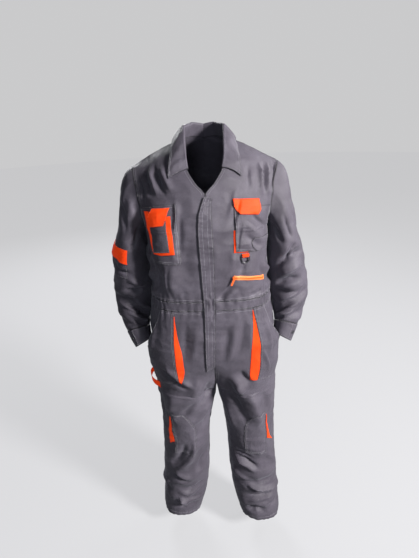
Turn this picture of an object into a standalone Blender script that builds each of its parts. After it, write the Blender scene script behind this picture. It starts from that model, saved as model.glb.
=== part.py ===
"""Boiler suit in its worn form: a work coverall hanging on an absent wearer, wrists at the hip pockets.

Metres, +Z up, the wearer faces -Y and the wearer's left is +X. The body cloth is one form, cut into panels. A row
of cloth at each level runs from a middle edge (inseam, centre front or back, neckline) to a side edge (side seam,
armhole); the tables give the two edges and how the row bows between them. Heights in the tables are millimetres
above the floor that the wearer stands on. The origin is where the shoulders carry the suit.
"""

import math

import bmesh
import bpy
import numpy as np

MM = 0.001
ORIGIN_HEIGHT = 1.500  # of the shoulders' bearing above the floor

# Cloth, in metres
CLOTH = 0.0020  # body cloth with its turnings
TRIM = 0.0014  # patches, flaps and gussets
SEAM_GAP = 0.0003  # between pieces that are sewn together
LIFT = 0.0004  # between a patch and what lies under it

# Levels of the cut, in millimetres above the floor
HEM, CROTCH, BAND_BOTTOM, WAIST_SEAM, ARMPIT = 70, 705, 1052, 1082, 1295
NECK_V, COLLAR_END, SHOULDER = 1398, 1464, 1532  # the nape is level with the collar's ends

# ---------------------------------------------------------------- tables of the form

# Seams shared by front and back. x is the distance from the middle.
INSEAM = (
    # level x
    (70, 83), (110, 72), (170, 56), (250, 44), (350, 36), (450, 33), (550, 23), (650, 5), (705, 0),
)
SIDE_SEAM = (
    # level x
    (70, 229), (110, 231), (170, 227), (250, 220), (350, 214), (450, 208), (550, 206), (650, 210), (705, 214),
    (790, 212), (850, 207), (950, 200), (1052, 192), (1082, 188), (1150, 183), (1220, 182), (1295, 187),
)
# Middle edges above the crotch: d is the distance in front of the side seams, or behind them at the back.
FRONT_MIDDLE = (
    # level   x    d     z
    (705,     0,   0,  705),
    (716,     0,  26,  708),
    (740,     0,  60,  730),
    (790,     0,  98,  788),
    (850,     0, 124,  850),
    (950,     0, 138,  950),
    (1052,    0, 141, 1052),
    (1082,    0, 141, 1082),
    (1150,    0, 145, 1150),
    (1220,    0, 148, 1220),
    (1295,    0, 146, 1295),
    (1350,    0, 140, 1350),
    (1398,    0, 130, 1398),
    (1430,   25, 121, 1430),
    (1464,   47, 102, 1464),
    (1500,   61,  60, 1505),
    (1532,   68,   0, 1537),
)
BACK_MIDDLE = (
    (705,     0,   0,  705),
    (716,     0,  32,  709),
    (740,     0,  72,  733),
    (790,     0, 116,  790),
    (850,     0, 140,  850),
    (950,     0, 142,  950),
    (1052,    0, 113, 1052),
    (1082,    0, 109, 1082),
    (1150,    0, 120, 1150),
    (1220,    0, 132, 1220),
    (1295,    0, 141, 1295),
    (1350,    0, 143, 1360),
    (1398,    0, 136, 1418),
    (1430,    0, 112, 1470),
    (1464,    0,  68, 1531),
    (1500,   38,  50, 1539),
    (1532,   68,   0, 1537),
)
# Armholes, from the underarm to the shoulder's end.
FRONT_ARMHOLE = (
    # level   x    d     z
    (1295,  187,   0, 1295),
    (1304,  186,  30, 1298),
    (1320,  185,  50, 1310),
    (1350,  187,  66, 1338),
    (1398,  193,  66, 1384),
    (1430,  199,  54, 1417),
    (1464,  205,  38, 1442),
    (1500,  209,  18, 1460),
    (1532,  211,   0, 1468),
)
BACK_ARMHOLE = (
    (1295,  187,   0, 1295),
    (1304,  186,  28, 1298),
    (1320,  186,  46, 1310),
    (1350,  188,  58, 1338),
    (1398,  194,  56, 1386),
    (1430,  200,  46, 1418),
    (1464,  206,  32, 1443),
    (1500,  210,  15, 1460),
    (1532,  211,   0, 1468),
)
# How a row bows: leave is the angle at which it leaves its middle edge (0 sideways, 90 straight out), arrive the
# angle at which it meets its side edge (90 straight in), reach and pull how long it keeps to them, in mm, and
# lift how far its middle stands above the line between its ends.
FRONT_BOW = (
    # level leave reach arrive pull lift
    (70,    90, 112, 90, 112, 36),
    (110,   90, 113, 90, 113, 20),
    (170,   90, 112, 90, 112,  6),
    (250,   90, 112, 90, 112,  0),
    (350,   90, 116, 90, 116,  0),
    (450,   90, 124, 90, 124,  0),
    (550,   90, 134, 90, 134,  0),
    (650,   90, 143, 90, 143,  0),
    (705,   90, 146, 90, 146,  0),
    (716,   86, 112, 90, 140,  0),
    (740,   62,  98, 90, 122,  0),
    (790,   22, 112, 90, 118,  0),
    (850,    4, 130, 90, 117,  0),
    (950,    0, 146, 90, 120,  0),
    (1052,   0, 146, 90, 124,  0),
    (1082,   0, 146, 90, 126,  0),
    (1150,   0, 148, 90, 128,  0),
    (1220,   0, 148, 90, 128,  0),
    (1295,   0, 146, 84, 110,  0),
    (1304,   0, 145, 80,  73,  0),
    (1320,   0, 142, 72,  55,  0),
    (1350,   0, 134, 58,  54,  0),
    (1398,   0, 118, 38,  46,  0),
    (1430,   0, 100, 30,  46,  0),
    (1464,   0,  80, 20,  46,  2),
    (1500,   0,  60,  8,  46,  3),
    (1532,   0,  48,  0,  48,  4),
)
BACK_BOW = (
    (70,    90, 102, 90, 102, -12),
    (110,   90, 106, 90, 106,  0),
    (170,   90, 110, 90, 110,  0),
    (250,   90, 120, 90, 120,  0),
    (350,   90, 124, 90, 124,  0),
    (450,   90, 118, 90, 118,  0),
    (550,   90, 132, 90, 132,  0),
    (650,   90, 152, 90, 152,  0),
    (705,   90, 163, 90, 163,  0),
    (716,   86, 122, 90, 156,  0),
    (740,   62,  92, 90, 136,  0),
    (790,   24, 112, 90, 126,  0),
    (850,    4, 122, 90, 108,  0),
    (950,    0, 122, 90,  96,  0),
    (1052,   0, 115, 90,  76,  0),
    (1082,   0, 112, 90,  70,  0),
    (1150,   0, 114, 90,  76,  0),
    (1220,   0, 116, 90,  84,  0),
    (1295,   0, 116, 96,  90,  0),
    (1304,   0, 116, 97,  55,  0),
    (1320,   0, 115, 87,  37,  0),
    (1350,   0, 112, 60,  48,  0),
    (1398,   0, 108, 42,  42,  0),
    (1430,   0, 100, 32,  44,  0),
    (1464,   0,  84, 20,  46,  2),
    (1500,   0,  66,  8,  46,  3),
    (1532,   0,  48,  0,  48,  4),
)
# The wearer leans: how far the middle of the suit stands to the wearer's left at each height, and how far the
# left leg's hem stands forward.
LEAN = (
    # height shift
    (0, 9), (600, 9), (850, 0), (1082, -3), (1300, -7), (1420, -6), (1500, -3), (1600, -3),
)
LEFT_LEG_FORWARD = 38
RIGHT_LEG_OUT = 6

# Sleeve below its cap: the middle of each ring, its half-width across and front to back, and how the ring leans:
# inward is how far its outer side drops, nod how far its front drops. The last ring is the cuff seam.
SLEEVE = (
    # x       y    z   across deep inward  nod
    (233,   0, 1270,   47,   76,    6,     2),
    (243,    3, 1215,   55,   75,    0,     5),
    (250,   10, 1150,   60,   72,   -4,     6),
    (254,   20, 1092,   63,   69,   -4,     2),
    (259,   27, 1045,   62,   65,   -4,    -8),
    (261,   20, 1003,   57,   60,   -4,   -22),
    (259,    4,  967,   47,   54,    2,   -26),
    (251,  -12,  934,   38,   47,   10,   -24),
)
CUFF = (
    (250.9, -12.2, 933.5, 38, 47,   10,   -24),
    (243,  -24,  911,   33,   43,   14,   -22),
    (234,  -35,  890,   28,   40,   18,   -20),
)
ELBOW_OUT = 6  # the left elbow stands out further than the right one
CAP_RINGS = 3
CAP_STANDS_OFF = 0.0008  # of the sleeve's edge at the underarm, in metres

# Largest folds of the cloth. around runs from the front's middle or the inseam (0) over the side seam (1) to the
# back's middle (2); turn is the fold's slope, up towards the side seam; a negative depth is a trough.
FOLDS = (
    # side around level turn length width depth
    (1,   0.62,   330,  -10,  110,  22,   9),
    (1,   0.40,   290,    8,  130,  14,  -7),
    (1,   0.60,   255,  -12,  120,  18,   9),
    (1,   0.70,   215,   12,  110,  14,  -8),
    (1,   0.55,   180,    6,  120,  17,   8),
    (1,   0.50,   420,  -32,  110,  20,  -6),
    (1,   1.40,   300,    6,  130,  22,   8),
    (1,   1.50,   220,   -8,  130,  20,   8),
    (-1,  0.50,   300,  -30,  120,  24,   7),
    (-1,  0.45,   240,   26,  100,  18,  -6),
    (-1,  0.55,   190,   14,  110,  18,   8),
    (-1,  0.50,   150,  -14,   90,  14,  -6),
    (-1,  1.40,   310,   -8,  130,  24,   8),
    (-1,  1.50,   210,   10,  120,  20,   8),
    (1,   0.30,   640,   40,  110,  24,  -6),
    (-1,  0.35,   600,   42,  120,  26,  -6),
    (1,   0.55,  1180,   62,  110,  20,  -5),
    (-1,  0.62,  1180,   70,  110,  20,  -5),
    (1,   1.50,   800,  -30,  110,  26,  -8),
    (-1,  1.50,   800,  -30,  110,  26,  -8),
    (1,   1.35,  1160,   78,  120,  24,   7),
    (-1,  1.35,  1160,   78,  120,  24,   7),
)
# Folds of the sleeves: round is the place round the arm (0 next to the body, 0.25 front, 0.5 outer, 0.75 back).
SLEEVE_FOLDS = (
    # side round level turn length width depth
    (1,   0.30,  1090,   20,   90,  15,   8),
    (1,   0.28,  1055,  -10,  100,  12,  -7),
    (1,   0.30,  1020,   14,  100,  15,   9),
    (1,   0.32,   985,  -12,   90,  12,  -7),
    (1,   0.35,   955,   10,   80,  13,   7),
    (1,   0.40,  1170,  -50,  100,  16,  -7),
    (-1,  0.30,  1095,  -24,   90,  15,   7),
    (-1,  0.28,  1050,   14,  100,  13,  -7),
    (-1,  0.30,  1010,  -16,  100,  15,   8),
    (-1,  0.32,   970,   14,   90,  12,  -6),
    (-1,  0.40,  1180,  -55,  100,  16,  -7),
    (1,   0.75,  1060,    8,   90,  18,   7),
    (-1,  0.75,  1060,    8,   90,  18,   7),
)


# ---------------------------------------------------------------- maths

def spline(rows, at):
    """Smooth values of every column but the first, without overshoot; the first column is the key."""
    rows = np.array(rows, float)
    keys, values = rows[:, 0], rows[:, 1:]
    chord = np.diff(values, axis=0) / np.diff(keys)[:, None]
    slope = np.vstack([chord[:1], np.zeros_like(chord[1:]), chord[-1:]])
    before, after = chord[:-1], chord[1:]
    same_way = before * after > 0
    slope[1:-1] = np.where(same_way, 2 * before * after / np.where(same_way, before + after, 1), 0)
    at = np.clip(np.asarray(at, float), keys[0], keys[-1])
    i = np.clip(np.searchsorted(keys, at, side="right") - 1, 0, len(keys) - 2)
    span = (keys[i + 1] - keys[i])[..., None]
    u = (at - keys[i])[..., None] / span
    return ((2 * u**3 - 3 * u**2 + 1) * values[i] + (u**3 - 2 * u**2 + u) * span * slope[i]
            + (3 * u**2 - 2 * u**3) * values[i + 1] + (u**3 - u**2) * span * slope[i + 1])


def unit(vectors):
    return vectors / np.maximum(np.linalg.norm(vectors, axis=-1, keepdims=True), 1e-12)


def ease(value):
    value = np.clip(value, 0, 1)
    return value * value * (3 - 2 * value)


def fold_shape(along, off, length, width, depth):
    taper = np.clip(1 - (along / length) ** 2, 0, 1) ** 2
    return depth * taper * np.exp(-(off / width) ** 2)


# ---------------------------------------------------------------- the form of the body cloth

ROW_LENGTH = 240  # millimetres of cloth from the middle to a side seam, for the folds' directions


def fold_height(side, around, level):
    total = np.zeros(np.broadcast(around, level).shape)
    for row_side, row_around, row_level, turn, length, width, depth in FOLDS:
        if row_level > CROTCH:
            apart = (side * around - row_side * row_around + 2) % 4 - 2
            apart = apart * row_side
        elif row_side == side:
            apart = (around - row_around + 1) % 2 - 1
        else:
            continue
        x, z = apart * ROW_LENGTH, level - row_level
        cos, sin = math.cos(math.radians(turn)), math.sin(math.radians(turn))
        total = total + fold_shape(x * cos + z * sin, z * cos - x * sin, length, width, depth)
    return total


class Piece:
    """The front or the back of one side of the body cloth, placed by (across 0..1, level)."""

    def __init__(self, facing, side):
        self.facing, self.side = facing, side
        self.middle, self.armhole, self.bow = ((FRONT_MIDDLE, FRONT_ARMHOLE, FRONT_BOW) if facing < 0
                                               else (BACK_MIDDLE, BACK_ARMHOLE, BACK_BOW))

    def base(self, across, level):
        across, level = np.broadcast_arrays(np.asarray(across, float), np.asarray(level, float))
        in_leg, below_arm = (level <= CROTCH)[..., None], (level <= ARMPIT)[..., None]
        leg = np.concatenate([spline(INSEAM, level), 0 * level[..., None], level[..., None]], -1)
        edge = np.where(in_leg, leg, spline(self.middle, level))
        seam = np.concatenate([spline(SIDE_SEAM, level), 0 * level[..., None], level[..., None]], -1)
        end = np.where(below_arm, seam, spline(self.armhole, level))
        leave, reach, arrive, pull, lift = np.moveaxis(spline(self.bow, level), -1, 0)
        leave, arrive = np.radians(leave), np.radians(arrive)
        u, v = across, 1 - across
        x = (v**3 * edge[..., 0] + 3 * u * v**2 * (edge[..., 0] + reach * np.cos(leave))
             + 3 * u**2 * v * (end[..., 0] - pull * np.cos(arrive)) + u**3 * end[..., 0])
        d = (v**3 * edge[..., 1] + 3 * u * v**2 * (edge[..., 1] + reach * np.sin(leave))
             + 3 * u**2 * v * (end[..., 1] + pull * np.sin(arrive)) + u**3 * end[..., 1])
        z = v * edge[..., 2] + u * end[..., 2] + 4 * u * v * lift
        return np.stack([x * self.side, d * self.facing, z], -1) * MM

    def own_normals(self, across, level):
        across, level = np.broadcast_arrays(np.asarray(across, float), np.asarray(level, float))
        a0, a1 = np.clip(across - 0.004, 0, 1), np.clip(across + 0.004, 0, 1)
        l0, l1 = np.clip(level - 1.5, HEM, SHOULDER), np.clip(level + 1.5, HEM, SHOULDER)
        row_way = self.base(a1, level) - self.base(a0, level)
        level_way = self.base(across, l1) - self.base(across, l0)
        return unit(np.cross(row_way, level_way) * self.side * -self.facing)

    def normals(self, across, level):
        """Outward normals of the form, shared with the piece on the far side of each seam."""
        across, level = np.broadcast_arrays(np.asarray(across, float), np.asarray(level, float))
        own = self.own_normals(across, level)
        mate = Piece(-self.facing, self.side).own_normals(across, level)
        at_side = ease(1 - (1 - across) / 0.12) * ease((ARMPIT + 12 - level) / 12)
        at_shoulder = ease(1 - (SHOULDER - level) / 20)
        at_inseam = ease(1 - across / 0.12) * (level <= CROTCH)
        shared = np.maximum(np.maximum(at_side, at_shoulder), at_inseam)[..., None]
        own = unit(own + shared * (unit(own + mate) - own))
        top = 1500 if self.facing > 0 else NECK_V
        at_middle = ease(1 - across / 0.12) * (level > CROTCH) * (level <= top)
        own[..., 0] *= 1 - at_middle
        return unit(own)

    def place(self, across, level):
        """Points of the draped cloth and outward normals."""
        around = across if self.facing < 0 else 2 - across
        normals = self.normals(across, level)
        height = fold_height(self.side, np.asarray(around, float), np.asarray(level, float))
        return self.base(across, level) + normals * height[..., None] * MM, normals


def stand(points):
    """Leans the suit, brings the left leg forward and moves the floor's zero to the origin's height."""
    moved = np.array(points, float)
    height = moved[..., 2] / MM
    forward = LEFT_LEG_FORWARD * MM * np.clip((CROTCH - height) / (CROTCH - HEM), 0, 1.2) ** 1.4
    moved[..., 1] -= forward * (moved[..., 0] > 0)
    moved[..., 0] += np.interp(height, *np.array(LEAN, float).T) * MM
    moved[..., 0] -= RIGHT_LEG_OUT * MM * ease((CROTCH - height) / 200) * (moved[..., 0] < 0)
    moved[..., 2] -= ORIGIN_HEIGHT
    return moved


def find_on_front(x, z):
    """Side, across and level of the front's cloth at a place seen from the front, in mm, lean included."""
    x, z = np.broadcast_arrays(np.asarray(x, float), np.asarray(z, float))
    x = x - np.interp(z, *np.array(LEAN, float).T)
    side = np.where(x < 0, -1, 1)
    across, level = np.clip(np.abs(x) / 260, 0.02, 0.8), z.copy()
    piece = Piece(-1, 1)
    for _ in range(14):
        here = piece.base(across, level) / MM
        by_across = (piece.base(across + 0.003, level) / MM - here) / 0.003
        by_level = piece.base(across, level + 1) / MM - here
        miss_x, miss_z = np.abs(x) - here[..., 0], z - here[..., 2]
        det = by_across[..., 0] * by_level[..., 2] - by_level[..., 0] * by_across[..., 2]
        det = np.where(np.abs(det) < 1, 1, det)
        across = across + np.clip((miss_x * by_level[..., 2] - by_level[..., 0] * miss_z) / det, -0.15, 0.15)
        level = level + np.clip((by_across[..., 0] * miss_z - by_across[..., 2] * miss_x) / det, -40, 40)
        across, level = np.clip(across, 0, 0.997), np.clip(level, HEM, SHOULDER - 1)
    return side, across, level


def lay_on_front(x, z, lift):
    """Points and normals that far (mm) off the front's cloth, at places seen from the front."""
    side, across, level = find_on_front(x, z)
    points, normals = np.zeros(side.shape + (3,)), np.zeros(side.shape + (3,))
    for one in (-1, 1):
        p, n = Piece(-1, one).place(across, level)
        points[side == one], normals[side == one] = p[side == one], n[side == one]
    points = points + normals * (np.asarray(lift, float) * MM)[..., None]
    return points, normals


# ---------------------------------------------------------------- the form of the sleeves

def sleeve_ring(row, side, turn):
    x, y, z, across, deep, inward, nod = row
    angle = 2 * np.pi * np.asarray(turn)
    out, ahead = -np.cos(angle), np.sin(angle)
    wider = ELBOW_OUT / 2 * math.exp(-((z - 1060) / 90) ** 2) * (side > 0)
    x, across = x + wider, across + wider
    return np.stack([(x + across * out) * side, y - deep * ahead, z - inward * out - nod * ahead], -1) * MM


def table_ring(table, at, side, turn):
    indexed = np.array([(i, *row) for i, row in enumerate(table)], float)
    return sleeve_ring(spline(indexed, at), side, turn)


ARMHOLE_LEVELS = (1295, 1304, 1320, 1350, 1398, 1430, 1464, 1500, 1532)


def armhole(side, levels=ARMHOLE_LEVELS):
    """Turn, points, normals and the way off the body cloth, round the armhole from the underarm over the front."""
    levels = np.array(levels, float)
    turns, points, normals, ways = [], [], [], []
    for facing in (-1, 1):
        piece = Piece(facing, side)
        edge, edge_normals = piece.place(np.ones_like(levels), levels)
        run = np.concatenate([[0], np.cumsum(np.linalg.norm(np.diff(edge, axis=0), axis=1))])
        share = run / run[-1] / 2
        tangent = unit(np.gradient(edge, axis=0))
        inward = piece.base(0.985, levels) - piece.base(1.0, levels)
        way = -unit(inward - (inward * tangent).sum(-1, keepdims=True) * tangent)
        if facing > 0:
            edge, edge_normals, way, share = edge[-2:0:-1], edge_normals[-2:0:-1], way[-2:0:-1], 1 - share[-2:0:-1]
        else:
            way[0] = (0, 0, -1)
        turns.append(share)
        points.append(edge)
        normals.append(edge_normals)
        ways.append(way)
    return tuple(np.concatenate(parts) for parts in (turns, points, normals, ways))


def sleeve_folds(side, turn, level):
    total = np.zeros(np.broadcast(turn, level).shape)
    for row_side, row_turn, row_level, slope, length, width, depth in SLEEVE_FOLDS:
        if row_side != side:
            continue
        x, z = ((turn - row_turn + 0.5) % 1 - 0.5) * 400, level - row_level
        cos, sin = math.cos(math.radians(slope)), math.sin(math.radians(slope))
        total = total + fold_shape(x * cos + z * sin, z * cos - x * sin, length, width, depth)
    return total


class Sleeve:
    """A sleeve placed by (at, turn): at runs from -1 (armhole) over 0 (first ring) to the cuff seam."""

    def __init__(self, side):
        self.side = side
        self.turns, self.hole, self.hole_normals, self.ways = armhole(side)

    def ring(self, at, turn):
        turn = np.asarray(turn, float)
        if at >= 0:
            return table_ring(SLEEVE, at, self.side, turn)
        hole, normals, ways = (self.around(values, turn) for values in (self.hole, self.hole_normals, self.ways))
        at_top = (0.5 - 0.5 * np.cos(2 * np.pi * turn))[:, None]
        start = hole + SEAM_GAP * ways + CAP_STANDS_OFF * (1 - at_top) ** 3 * normals
        first, second = (table_ring(SLEEVE, k, self.side, turn) for k in (0, 0.3))
        down = unit(second - first)
        outward = unit(at_top * ways + (1 - at_top) * unit(0.6 * normals + down))
        gap = np.linalg.norm(first - start, axis=-1, keepdims=True)
        u, v = at + 1, -at
        return (v**3 * start + 3 * u * v**2 * (start + outward * gap * 0.30)
                + 3 * u**2 * v * (first - down * gap * 0.45) + u**3 * first)

    def around(self, values, turn):
        keys = np.concatenate([self.turns, [1]])
        values = np.concatenate([values, values[:1]])
        return np.stack([np.interp(turn % 1, keys, values[:, k]) for k in range(3)], -1)

    def grid(self, ats, turn):
        """Rings of points and their outward normals, folds included; round the whole arm."""
        rings = np.array([self.ring(at, turn) for at in ats])
        normals = ring_normals(rings)
        at_top = (0.5 - 0.5 * np.cos(2 * np.pi * turn))[:, None]
        if ats[0] == -1:
            normals[0] = unit(at_top * self.around(self.hole_normals, turn) + (1 - at_top) * normals[0])
        height = sleeve_folds(self.side, turn[None, :], rings[..., 2] / MM)
        height = height * ease(np.array(ats) + 1)[:, None] * ease((len(SLEEVE) - 1 - np.array(ats)) / 0.8)[:, None]
        return rings + normals * height[..., None] * MM, normals


def ring_normals(rings):
    around = np.roll(rings, -1, axis=1) - np.roll(rings, 1, axis=1)
    normals = unit(np.cross(around, np.gradient(rings, axis=0)))
    outward = ((rings - rings.mean(axis=1, keepdims=True)) * normals).sum(-1)
    return normals * (-1 if outward.mean() < 0 else 1)


# ---------------------------------------------------------------- making solids

MATERIALS = {
    "cloth_grey": ((0.095, 0.095, 0.105, 1), 0.78, 0.0),
    "cloth_orange": ((0.90, 0.12, 0.02, 1), 0.72, 0.0),
    "hard_dark": ((0.03, 0.03, 0.035, 1), 0.40, 0.0),
    "hard_orange": ((0.90, 0.16, 0.03, 1), 0.45, 0.0),
}


def material(name):
    made = bpy.data.materials.get(name)
    if made:
        return made
    colour, roughness, metallic = MATERIALS[name]
    made = bpy.data.materials.new(name)
    made.use_nodes = True
    shader = made.node_tree.nodes["Principled BSDF"]
    shader.inputs["Base Color"].default_value = colour
    shader.inputs["Roughness"].default_value = roughness
    shader.inputs["Metallic"].default_value = metallic
    return made


def signed_volume(vertices, faces):
    total = 0.0
    for face in faces:
        first = vertices[face[0]]
        for a, b in zip(face[1:-1], face[2:]):
            total += float(np.dot(first, np.cross(vertices[a], vertices[b]))) / 6
    return total


def add_object(name, vertices, faces, material_name, origin=(0, 0, 0)):
    vertices = np.asarray(vertices, float) - np.asarray(origin, float)
    if signed_volume(vertices - vertices.mean(axis=0), faces) < 0:
        faces = [face[::-1] for face in faces]
    mesh = bpy.data.meshes.new(name)
    mesh.from_pydata([tuple(map(float, v)) for v in vertices], [], faces)
    mesh.materials.append(material(material_name))
    mesh.shade_smooth()
    mesh.set_sharp_from_angle(angle=math.radians(50))
    made = bpy.data.objects.new(name, mesh)
    made.location = origin
    bpy.context.scene.collection.objects.link(made)
    return made


def grid_faces(rows, columns, first=0, closed=False, flip=False):
    """Triangles of a grid whose vertices run row by row; closed joins the last column to the first. Every cell
    is cut from (i, j) to (i + 1, j + 1)."""
    faces = []
    for i in range(rows - 1):
        for j in range(columns if closed else columns - 1):
            k = (j + 1) % columns
            a, b = first + i * columns + j, first + i * columns + k
            c, d = first + (i + 1) * columns + k, first + (i + 1) * columns + j
            for corner in ((a, b, c), (a, c, d)):
                faces.append(corner[::-1] if flip else corner)
    return faces


def rim_faces(rows, columns, closed):
    """Quads round the free edges, between the outer grid and the inner grid that follows it."""
    inner = rows * columns
    if closed:
        loops = [[j for j in range(columns)], [(rows - 1) * columns + j for j in range(columns)][::-1]]
    else:
        loops = [[j for j in range(columns)] + [i * columns + columns - 1 for i in range(1, rows)]
                 + [(rows - 1) * columns + j for j in range(columns - 2, -1, -1)]
                 + [i * columns for i in range(rows - 2, 0, -1)]]
    return [(a, inner + a, inner + b, b) for loop in loops for a, b in zip(loop, loop[1:] + loop[:1])]


def add_wall(name, outer, inner, material_name, closed=False, origin=(0, 0, 0)):
    """A closed solid between two grids of points of the same shape, given as on the standing wearer."""
    rows, columns = outer.shape[:2]
    vertices = stand(np.concatenate([outer.reshape(-1, 3), inner.reshape(-1, 3)]))
    faces = (grid_faces(rows, columns, 0, closed) + grid_faces(rows, columns, rows * columns, closed, True)
             + rim_faces(rows, columns, closed))
    return add_object(name, vertices, faces, material_name, origin)


def trim_edges(grid, by=SEAM_GAP / 2):
    """Draws a grid's edges in, for the seam gap."""
    grid = grid.copy()
    grid[:, 0] += unit(grid[:, 1] - grid[:, 0]) * by
    grid[:, -1] += unit(grid[:, -2] - grid[:, -1]) * by
    grid[0] += unit(grid[1] - grid[0]) * by
    grid[-1] += unit(grid[-2] - grid[-1]) * by * 1.3
    return grid


# ---------------------------------------------------------------- body panels

UPPER_LEVELS = (WAIST_SEAM, 1130, 1180, 1236, ARMPIT, 1304, 1320, 1350, NECK_V, 1430, COLLAR_END, 1500, SHOULDER)
LOWER_LEVELS = (HEM, 100, 130, 158, 186, 212, 238, 264, 292, 325, 365, 415, 470, 530, 590, 650, CROTCH,
                716, 740, 790, 850, 950, BAND_BOTTOM)
BAND_LEVELS = (BAND_BOTTOM, WAIST_SEAM)
ACROSS = np.linspace(0, 1, 7)  # the panels' columns
SLEEVE_STEPS = np.concatenate([np.linspace(-1, 0, CAP_RINGS + 1)[:-1], np.linspace(0, len(SLEEVE) - 1, 11)])


def add_panel(name, piece, across, levels):
    grid_across, grid_level = np.meshgrid(across, levels)
    points, normals = piece.place(grid_across, grid_level)
    points = trim_edges(points)
    inner = points - normals * CLOTH
    for grid in (points, inner):
        grid[..., 0] = np.maximum(grid[..., 0] * piece.side, SEAM_GAP / 2) * piece.side
    return add_wall(name, points, inner, "cloth_grey")


def add_across_back(name, across, levels):
    """One panel over both halves of the back, from the right side seam to the left one, open above the nape."""
    grid_across, grid_level = np.meshgrid(across, levels)
    rows, columns = grid_across.shape
    joined = sum(level <= COLLAR_END for level in levels)
    outer, inner, faces = [], [], []
    for number, side in enumerate((-1, 1)):
        points, normals = Piece(1, side).place(grid_across, grid_level)
        points = trim_edges(points)
        points[:joined, 0, 0] = 0
        outer.append(points.reshape(-1, 3))
        inner.append((points - normals * CLOTH).reshape(-1, 3))
        faces += grid_faces(rows, columns, number * rows * columns, flip=side > 0)
    middle = {rows * columns + k * columns: k * columns for k in range(joined)}
    faces = [tuple(middle.get(corner, corner) for corner in face) for face in faces]
    add_sheet(name, np.concatenate(outer), np.concatenate(inner), faces, "cloth_grey")


def add_sheet(name, outer, inner, faces, material_name):
    """A closed solid between two layers of points that share their faces; unused points are left out."""
    used = sorted({corner for face in faces for corner in face})
    index = {corner: k for k, corner in enumerate(used)}
    faces = [tuple(index[corner] for corner in face) for face in faces]
    count = len(used)
    ways = {(a, b) for face in faces for a, b in zip(face, face[1:] + face[:1])}
    rims = [(b, a, count + a, count + b) for a, b in sorted(ways) if (b, a) not in ways]
    faces = faces + [tuple(count + corner for corner in face[::-1]) for face in faces] + rims
    return add_object(name, stand(np.concatenate([outer[used], inner[used]])), faces, material_name)


def add_body():
    for side, word in ((-1, "right"), (1, "left")):
        front, back = Piece(-1, side), Piece(1, side)
        add_panel(f"front_{word}", front, ACROSS, UPPER_LEVELS)
        add_panel(f"trouser_front_{word}", front, ACROSS, LOWER_LEVELS)
        add_panel(f"trouser_back_{word}", back, ACROSS, LOWER_LEVELS)
        add_panel(f"waistband_{word}", front, ACROSS, BAND_LEVELS)
    add_across_back("back", ACROSS, UPPER_LEVELS)
    add_across_back("waistband_back", ACROSS, BAND_LEVELS)


def add_sleeves():
    for side, word in ((-1, "right"), (1, "left")):
        sleeve = Sleeve(side)
        rings, normals = sleeve.grid(SLEEVE_STEPS, sleeve.turns)
        add_wall(f"sleeve_{word}", rings, rings - normals * CLOTH, "cloth_grey", closed=True)
        cuff = np.array([table_ring(CUFF, at, side, sleeve.turns) for at in (0, 1, 2)])
        add_wall(f"cuff_{word}", cuff, cuff - ring_normals(cuff) * CLOTH, "cloth_grey", closed=True)
        add_button(f"cuff_button_{word}", side, sleeve.turns)


# ---------------------------------------------------------------- nets, for what lies on a panel

class Net:
    """A panel's own facets, placed by (u, v) in the units of its grid lines."""

    def __init__(self, u_lines, v_lines, points, normals, mirrored=()):
        self.u, self.v = np.array(u_lines, float), np.array(v_lines, float)
        self.points, self.normals, self.mirrored = points, normals, np.array(mirrored, int)

    def put(self, u, v, lift):
        u, v = np.asarray(u, float), np.asarray(v, float)
        j = np.clip(np.searchsorted(self.u, u, side="right") - 1, 0, len(self.u) - 2)
        i = np.clip(np.searchsorted(self.v, v, side="right") - 1, 0, len(self.v) - 2)
        s = (u - self.u[j]) / (self.u[j + 1] - self.u[j])
        t = (v - self.v[i]) / (self.v[i + 1] - self.v[i])
        back = np.isin(j, self.mirrored)
        out = []
        for values in (self.points, self.normals):
            a, b, c, d = values[i, j], values[i, j + 1], values[i + 1, j + 1], values[i + 1, j]
            a, b, c, d = (np.where(back[:, None], p, q) for p, q in ((b, a), (a, b), (d, c), (c, d)))
            s_ = np.where(back, 1 - s, s)[:, None]
            t_ = t[:, None]
            out.append(np.where(s_ >= t_, a + (b - a) * s_ + (c - b) * t_, a + (c - d) * s_ + (d - a) * t_))
        normals = unit(out[1])
        return out[0] + normals * (np.asarray(lift, float) * MM)[:, None], normals

    def cells(self):
        for i in range(len(self.v) - 1):
            for j in range(len(self.u) - 1):
                yield i, j, j in self.mirrored


def front_net():
    """Both fronts from side seam to side seam and from hem to shoulder: u is across, negative on the right."""
    levels = LOWER_LEVELS + BAND_LEVELS[1:] + UPPER_LEVELS[1:]
    grid_across, grid_level = np.meshgrid(ACROSS, levels)
    (right, right_n), (left, left_n) = (Piece(-1, side).place(grid_across, grid_level) for side in (-1, 1))
    points = np.concatenate([right[:, ::-1], left[:, 1:]], axis=1)
    normals = np.concatenate([right_n[:, ::-1], left_n[:, 1:]], axis=1)
    lines = np.concatenate([-ACROSS[::-1], ACROSS[1:]])
    return Net(lines, levels, points, normals, range(len(ACROSS) - 1))


def leg_net(side):
    """Trouser front and back of one side: u runs from 0 over the side seam (1) to the back's middle (2)."""
    grid_across, grid_level = np.meshgrid(ACROSS, LOWER_LEVELS)
    (front, front_n), (back, back_n) = (Piece(facing, side).place(grid_across, grid_level) for facing in (-1, 1))
    points = np.concatenate([front, back[:, -2::-1]], axis=1)
    normals = np.concatenate([front_n, back_n[:, -2::-1]], axis=1)
    lines = np.concatenate([ACROSS, 2 - ACROSS[-2::-1]])
    return Net(lines, LOWER_LEVELS, points, normals, range(len(ACROSS) - 1, 2 * len(ACROSS) - 2))


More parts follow.
